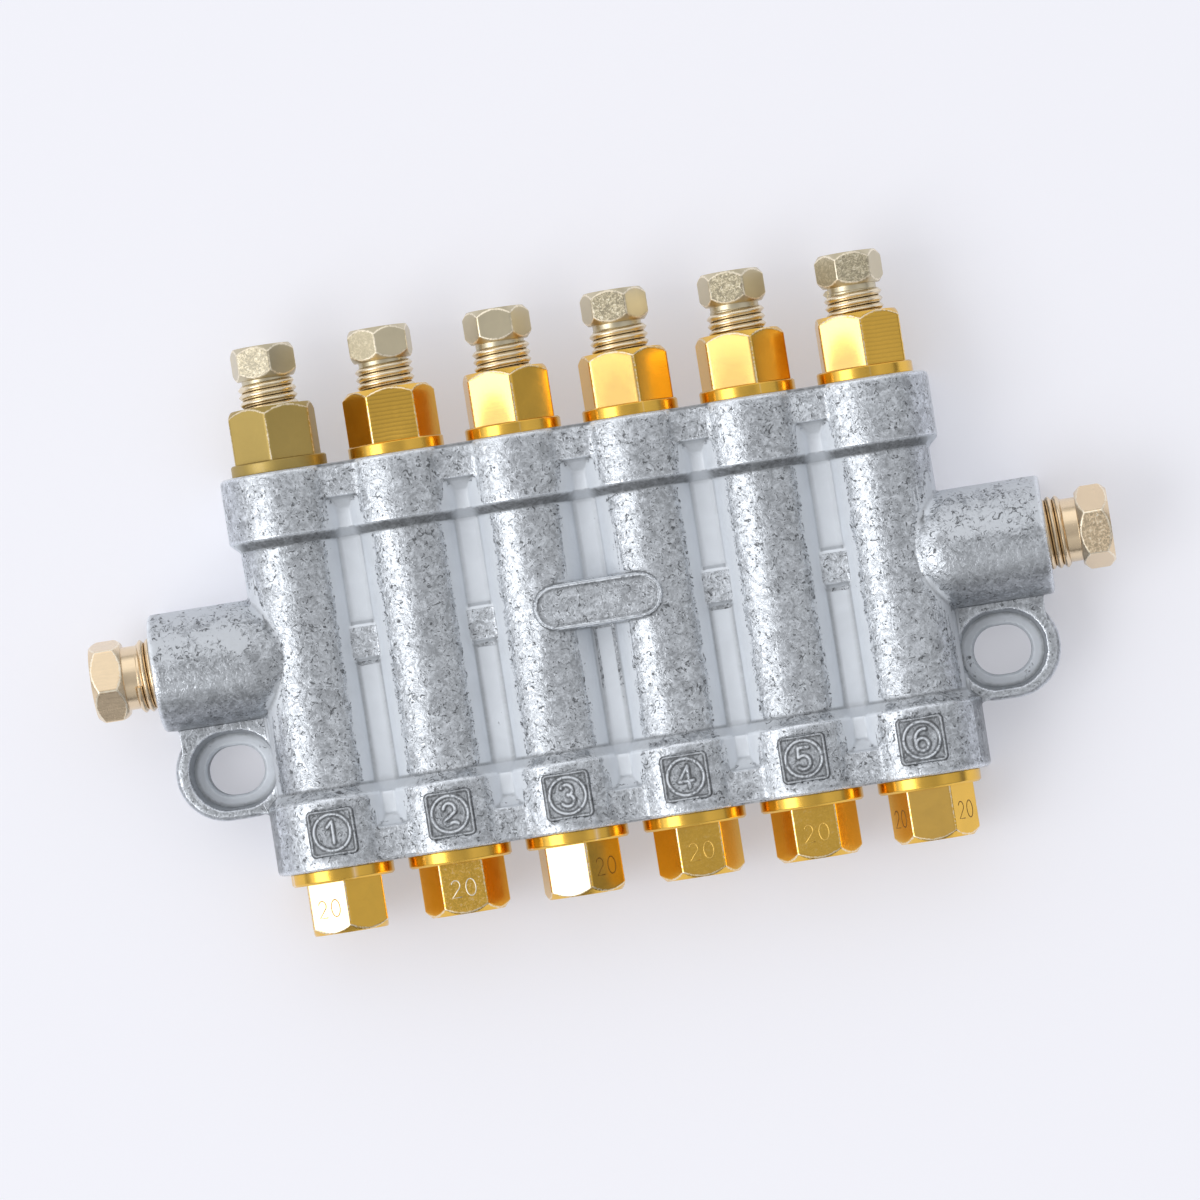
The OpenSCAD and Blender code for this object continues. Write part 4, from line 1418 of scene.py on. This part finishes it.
class DISTRIBUTOR_OT_stage(bpy.types.Operator):
    """Set the pale floor, the soft light and the camera"""

    bl_idname = "distributor.stage"
    bl_label = "Stage and Camera"

    def execute(self, context):
        scene = context.scene
        scene.view_settings.view_transform = "Standard"
        self._floor(scene)
        self._lamp(scene)
        self._world(scene)
        self._camera(scene)
        return {"FINISHED"}

    @staticmethod
    def _floor(scene):
        """Pale paper that glows a little to the camera, so that it stays even."""
        reach = 3000.0
        around = ((-reach, -reach), (reach, -reach), (reach, reach), (-reach, reach))
        mesh = bpy.data.meshes.new("floor")
        mesh.from_pydata([(x * MM, y * MM, -0.02 * MM) for x, y in around], [], [(0, 1, 2, 3)])
        floor = bpy.data.objects.new("floor", mesh)
        scene.collection.objects.link(floor)
        board = Finish("backdrop")
        tone = tuple(finishes().backdrop)
        cloud = board.noise(60.0, 2.0)
        base = board.mix(cloud, tuple(c * 0.995 for c in tone), tone)
        matt = {"Base Color": base, "Roughness": 0.9, "Specular IOR Level": 0.1}
        paper = board.make("ShaderNodeBsdfPrincipled", {}, matt)["BSDF"]
        lit = {"Color": (*tone, 1.0), "Strength": 1.0}
        glow = board.make("ShaderNodeEmission", {}, lit)["Emission"]
        ray = board.make("ShaderNodeLightPath")
        seen = (ray["Is Camera Ray"] + ray["Is Glossy Ray"] + ray["Is Transmission Ray"]).limited()
        pale = board.make("ShaderNodeMixShader", {}, {0: seen * 0.36, 1: paper, 2: glow})["Shader"]
        board.make("ShaderNodeOutputMaterial", {}, {"Surface": pale})
        mesh.materials.append(board.material)

    @staticmethod
    def _lamp(scene):
        """Soft box to the left of the row, tilted towards it."""
        turn, lean, distance = math.radians(198.0), math.radians(45.0), 3.0
        width, depth, radiance = 2.2, 1.6, 2.4
        lamp = bpy.data.lights.new("soft_box_left", "AREA")
        lamp.shape = "RECTANGLE"
        lamp.size, lamp.size_y = width, depth
        lamp.energy = radiance * math.pi * width * depth
        holder = bpy.data.objects.new("soft_box_left", lamp)
        scene.collection.objects.link(holder)
        aside = math.sin(lean)
        out = Vector((math.cos(turn) * aside, math.sin(turn) * aside, math.cos(lean)))
        holder.location = out * distance
        holder.rotation_euler = out.to_track_quat("Z", "Y").to_euler()
        holder.visible_camera = False

    @staticmethod
    def _world(scene):
        """Bright tent, darker at its top and below, and brighter to the upper left."""
        world = bpy.data.worlds.new("studio")
        world.use_nodes = True
        world.node_tree.nodes.clear()
        scene.world = world
        board = Board(world.node_tree)
        direction = board.make("ShaderNodeTexCoord")["Generated"]
        way = board.make("ShaderNodeSeparateXYZ", {}, {"Vector": direction})
        stops = [
            (0.0, (0.32, 0.32, 0.33)), (0.20, (0.36, 0.36, 0.37)), (0.32, (0.86, 0.86, 0.87)),
            (0.84, (0.86, 0.86, 0.87)), (0.96, (0.50, 0.50, 0.51)),
        ]
        tone = board.make("ShaderNodeValToRGB", {"stops": stops}, {"Fac": way["Z"]})["Color"]
        side = 1.0 - way["X"] * 0.35 + way["Y"] * 0.45
        scaled = {0: tone, "Scale": side}
        tone = board.make("ShaderNodeVectorMath", {"operation": "SCALE"}, scaled)["Vector"]
        lit = {"Color": tone, "Strength": 1.0}
        light = board.make("ShaderNodeBackground", {}, lit)["Background"]
        board.make("ShaderNodeOutputWorld", {}, {"Surface": light})

    @staticmethod
    def _camera(scene):
        """Long lens almost straight above, rolled so that the row rises to the right."""
        camera = bpy.data.cameras.new("camera")
        camera.sensor_width = 36.0
        camera.lens = 289.4
        camera.clip_start = 0.05
        camera.clip_end = 20.0
        holder = bpy.data.objects.new("camera", camera)
        scene.collection.objects.link(holder)
        target = Vector((0.0, 15.0, 9.0)) * MM
        distance = 1.3
        back = Vector((0.042, -0.014, 0.999)).normalized()
        up = Vector((0.1555, 0.988, 0.0))
        up = (up - back * up.dot(back)).normalized()
        turn = Matrix((up.cross(back), up, back)).transposed().to_4x4()
        holder.matrix_world = Matrix.Translation(target + back * distance) @ turn
        scene.camera = holder


# ------------------------------------------------------------------ panel and start

OPERATORS = (
    DISTRIBUTOR_OT_stage,
    DISTRIBUTOR_OT_inner_parts,
    DISTRIBUTOR_OT_casting,
    DISTRIBUTOR_OT_reliefs,
    DISTRIBUTOR_OT_outlet_fittings,
    DISTRIBUTOR_OT_outlet_screws,
    DISTRIBUTOR_OT_inlet_screws,
    DISTRIBUTOR_OT_nipples,
    DISTRIBUTOR_OT_springs,
)


class DISTRIBUTOR_PT_panel(bpy.types.Panel):
    """Sizes, colours and makers of the distributor's pieces"""

    bl_idname = "DISTRIBUTOR_PT_panel"
    bl_label = "Lubrication Distributor"
    bl_space_type = "VIEW_3D"
    bl_region_type = "UI"
    bl_category = "Distributor"

    def draw(self, context):
        layout = self.layout
        for group in (context.scene.distributor_sizes, context.scene.distributor_finishes):
            column = layout.column(align=True)
            for name in group.bl_rna.properties.keys():
                if name not in ("rna_type", "name"):
                    column.prop(group, name)
        for operator in OPERATORS:
            layout.operator(operator.bl_idname)


CLASSES = (DistributorSizes, DistributorFinishes, *OPERATORS, DISTRIBUTOR_PT_panel)


def register():
    for entry in CLASSES:
        bpy.utils.register_class(entry)
    bpy.types.Scene.distributor_sizes = bpy.props.PointerProperty(type=DistributorSizes)
    bpy.types.Scene.distributor_finishes = bpy.props.PointerProperty(type=DistributorFinishes)


def unregister():
    del bpy.types.Scene.distributor_finishes
    del bpy.types.Scene.distributor_sizes
    for entry in reversed(CLASSES):
        bpy.utils.unregister_class(entry)


def main():
    """Makes the whole scene."""
    register()
    for operator in OPERATORS:
        group, name = operator.bl_idname.split(".")
        getattr(getattr(bpy.ops, group), name)()


if __name__ == "__main__":
    main()
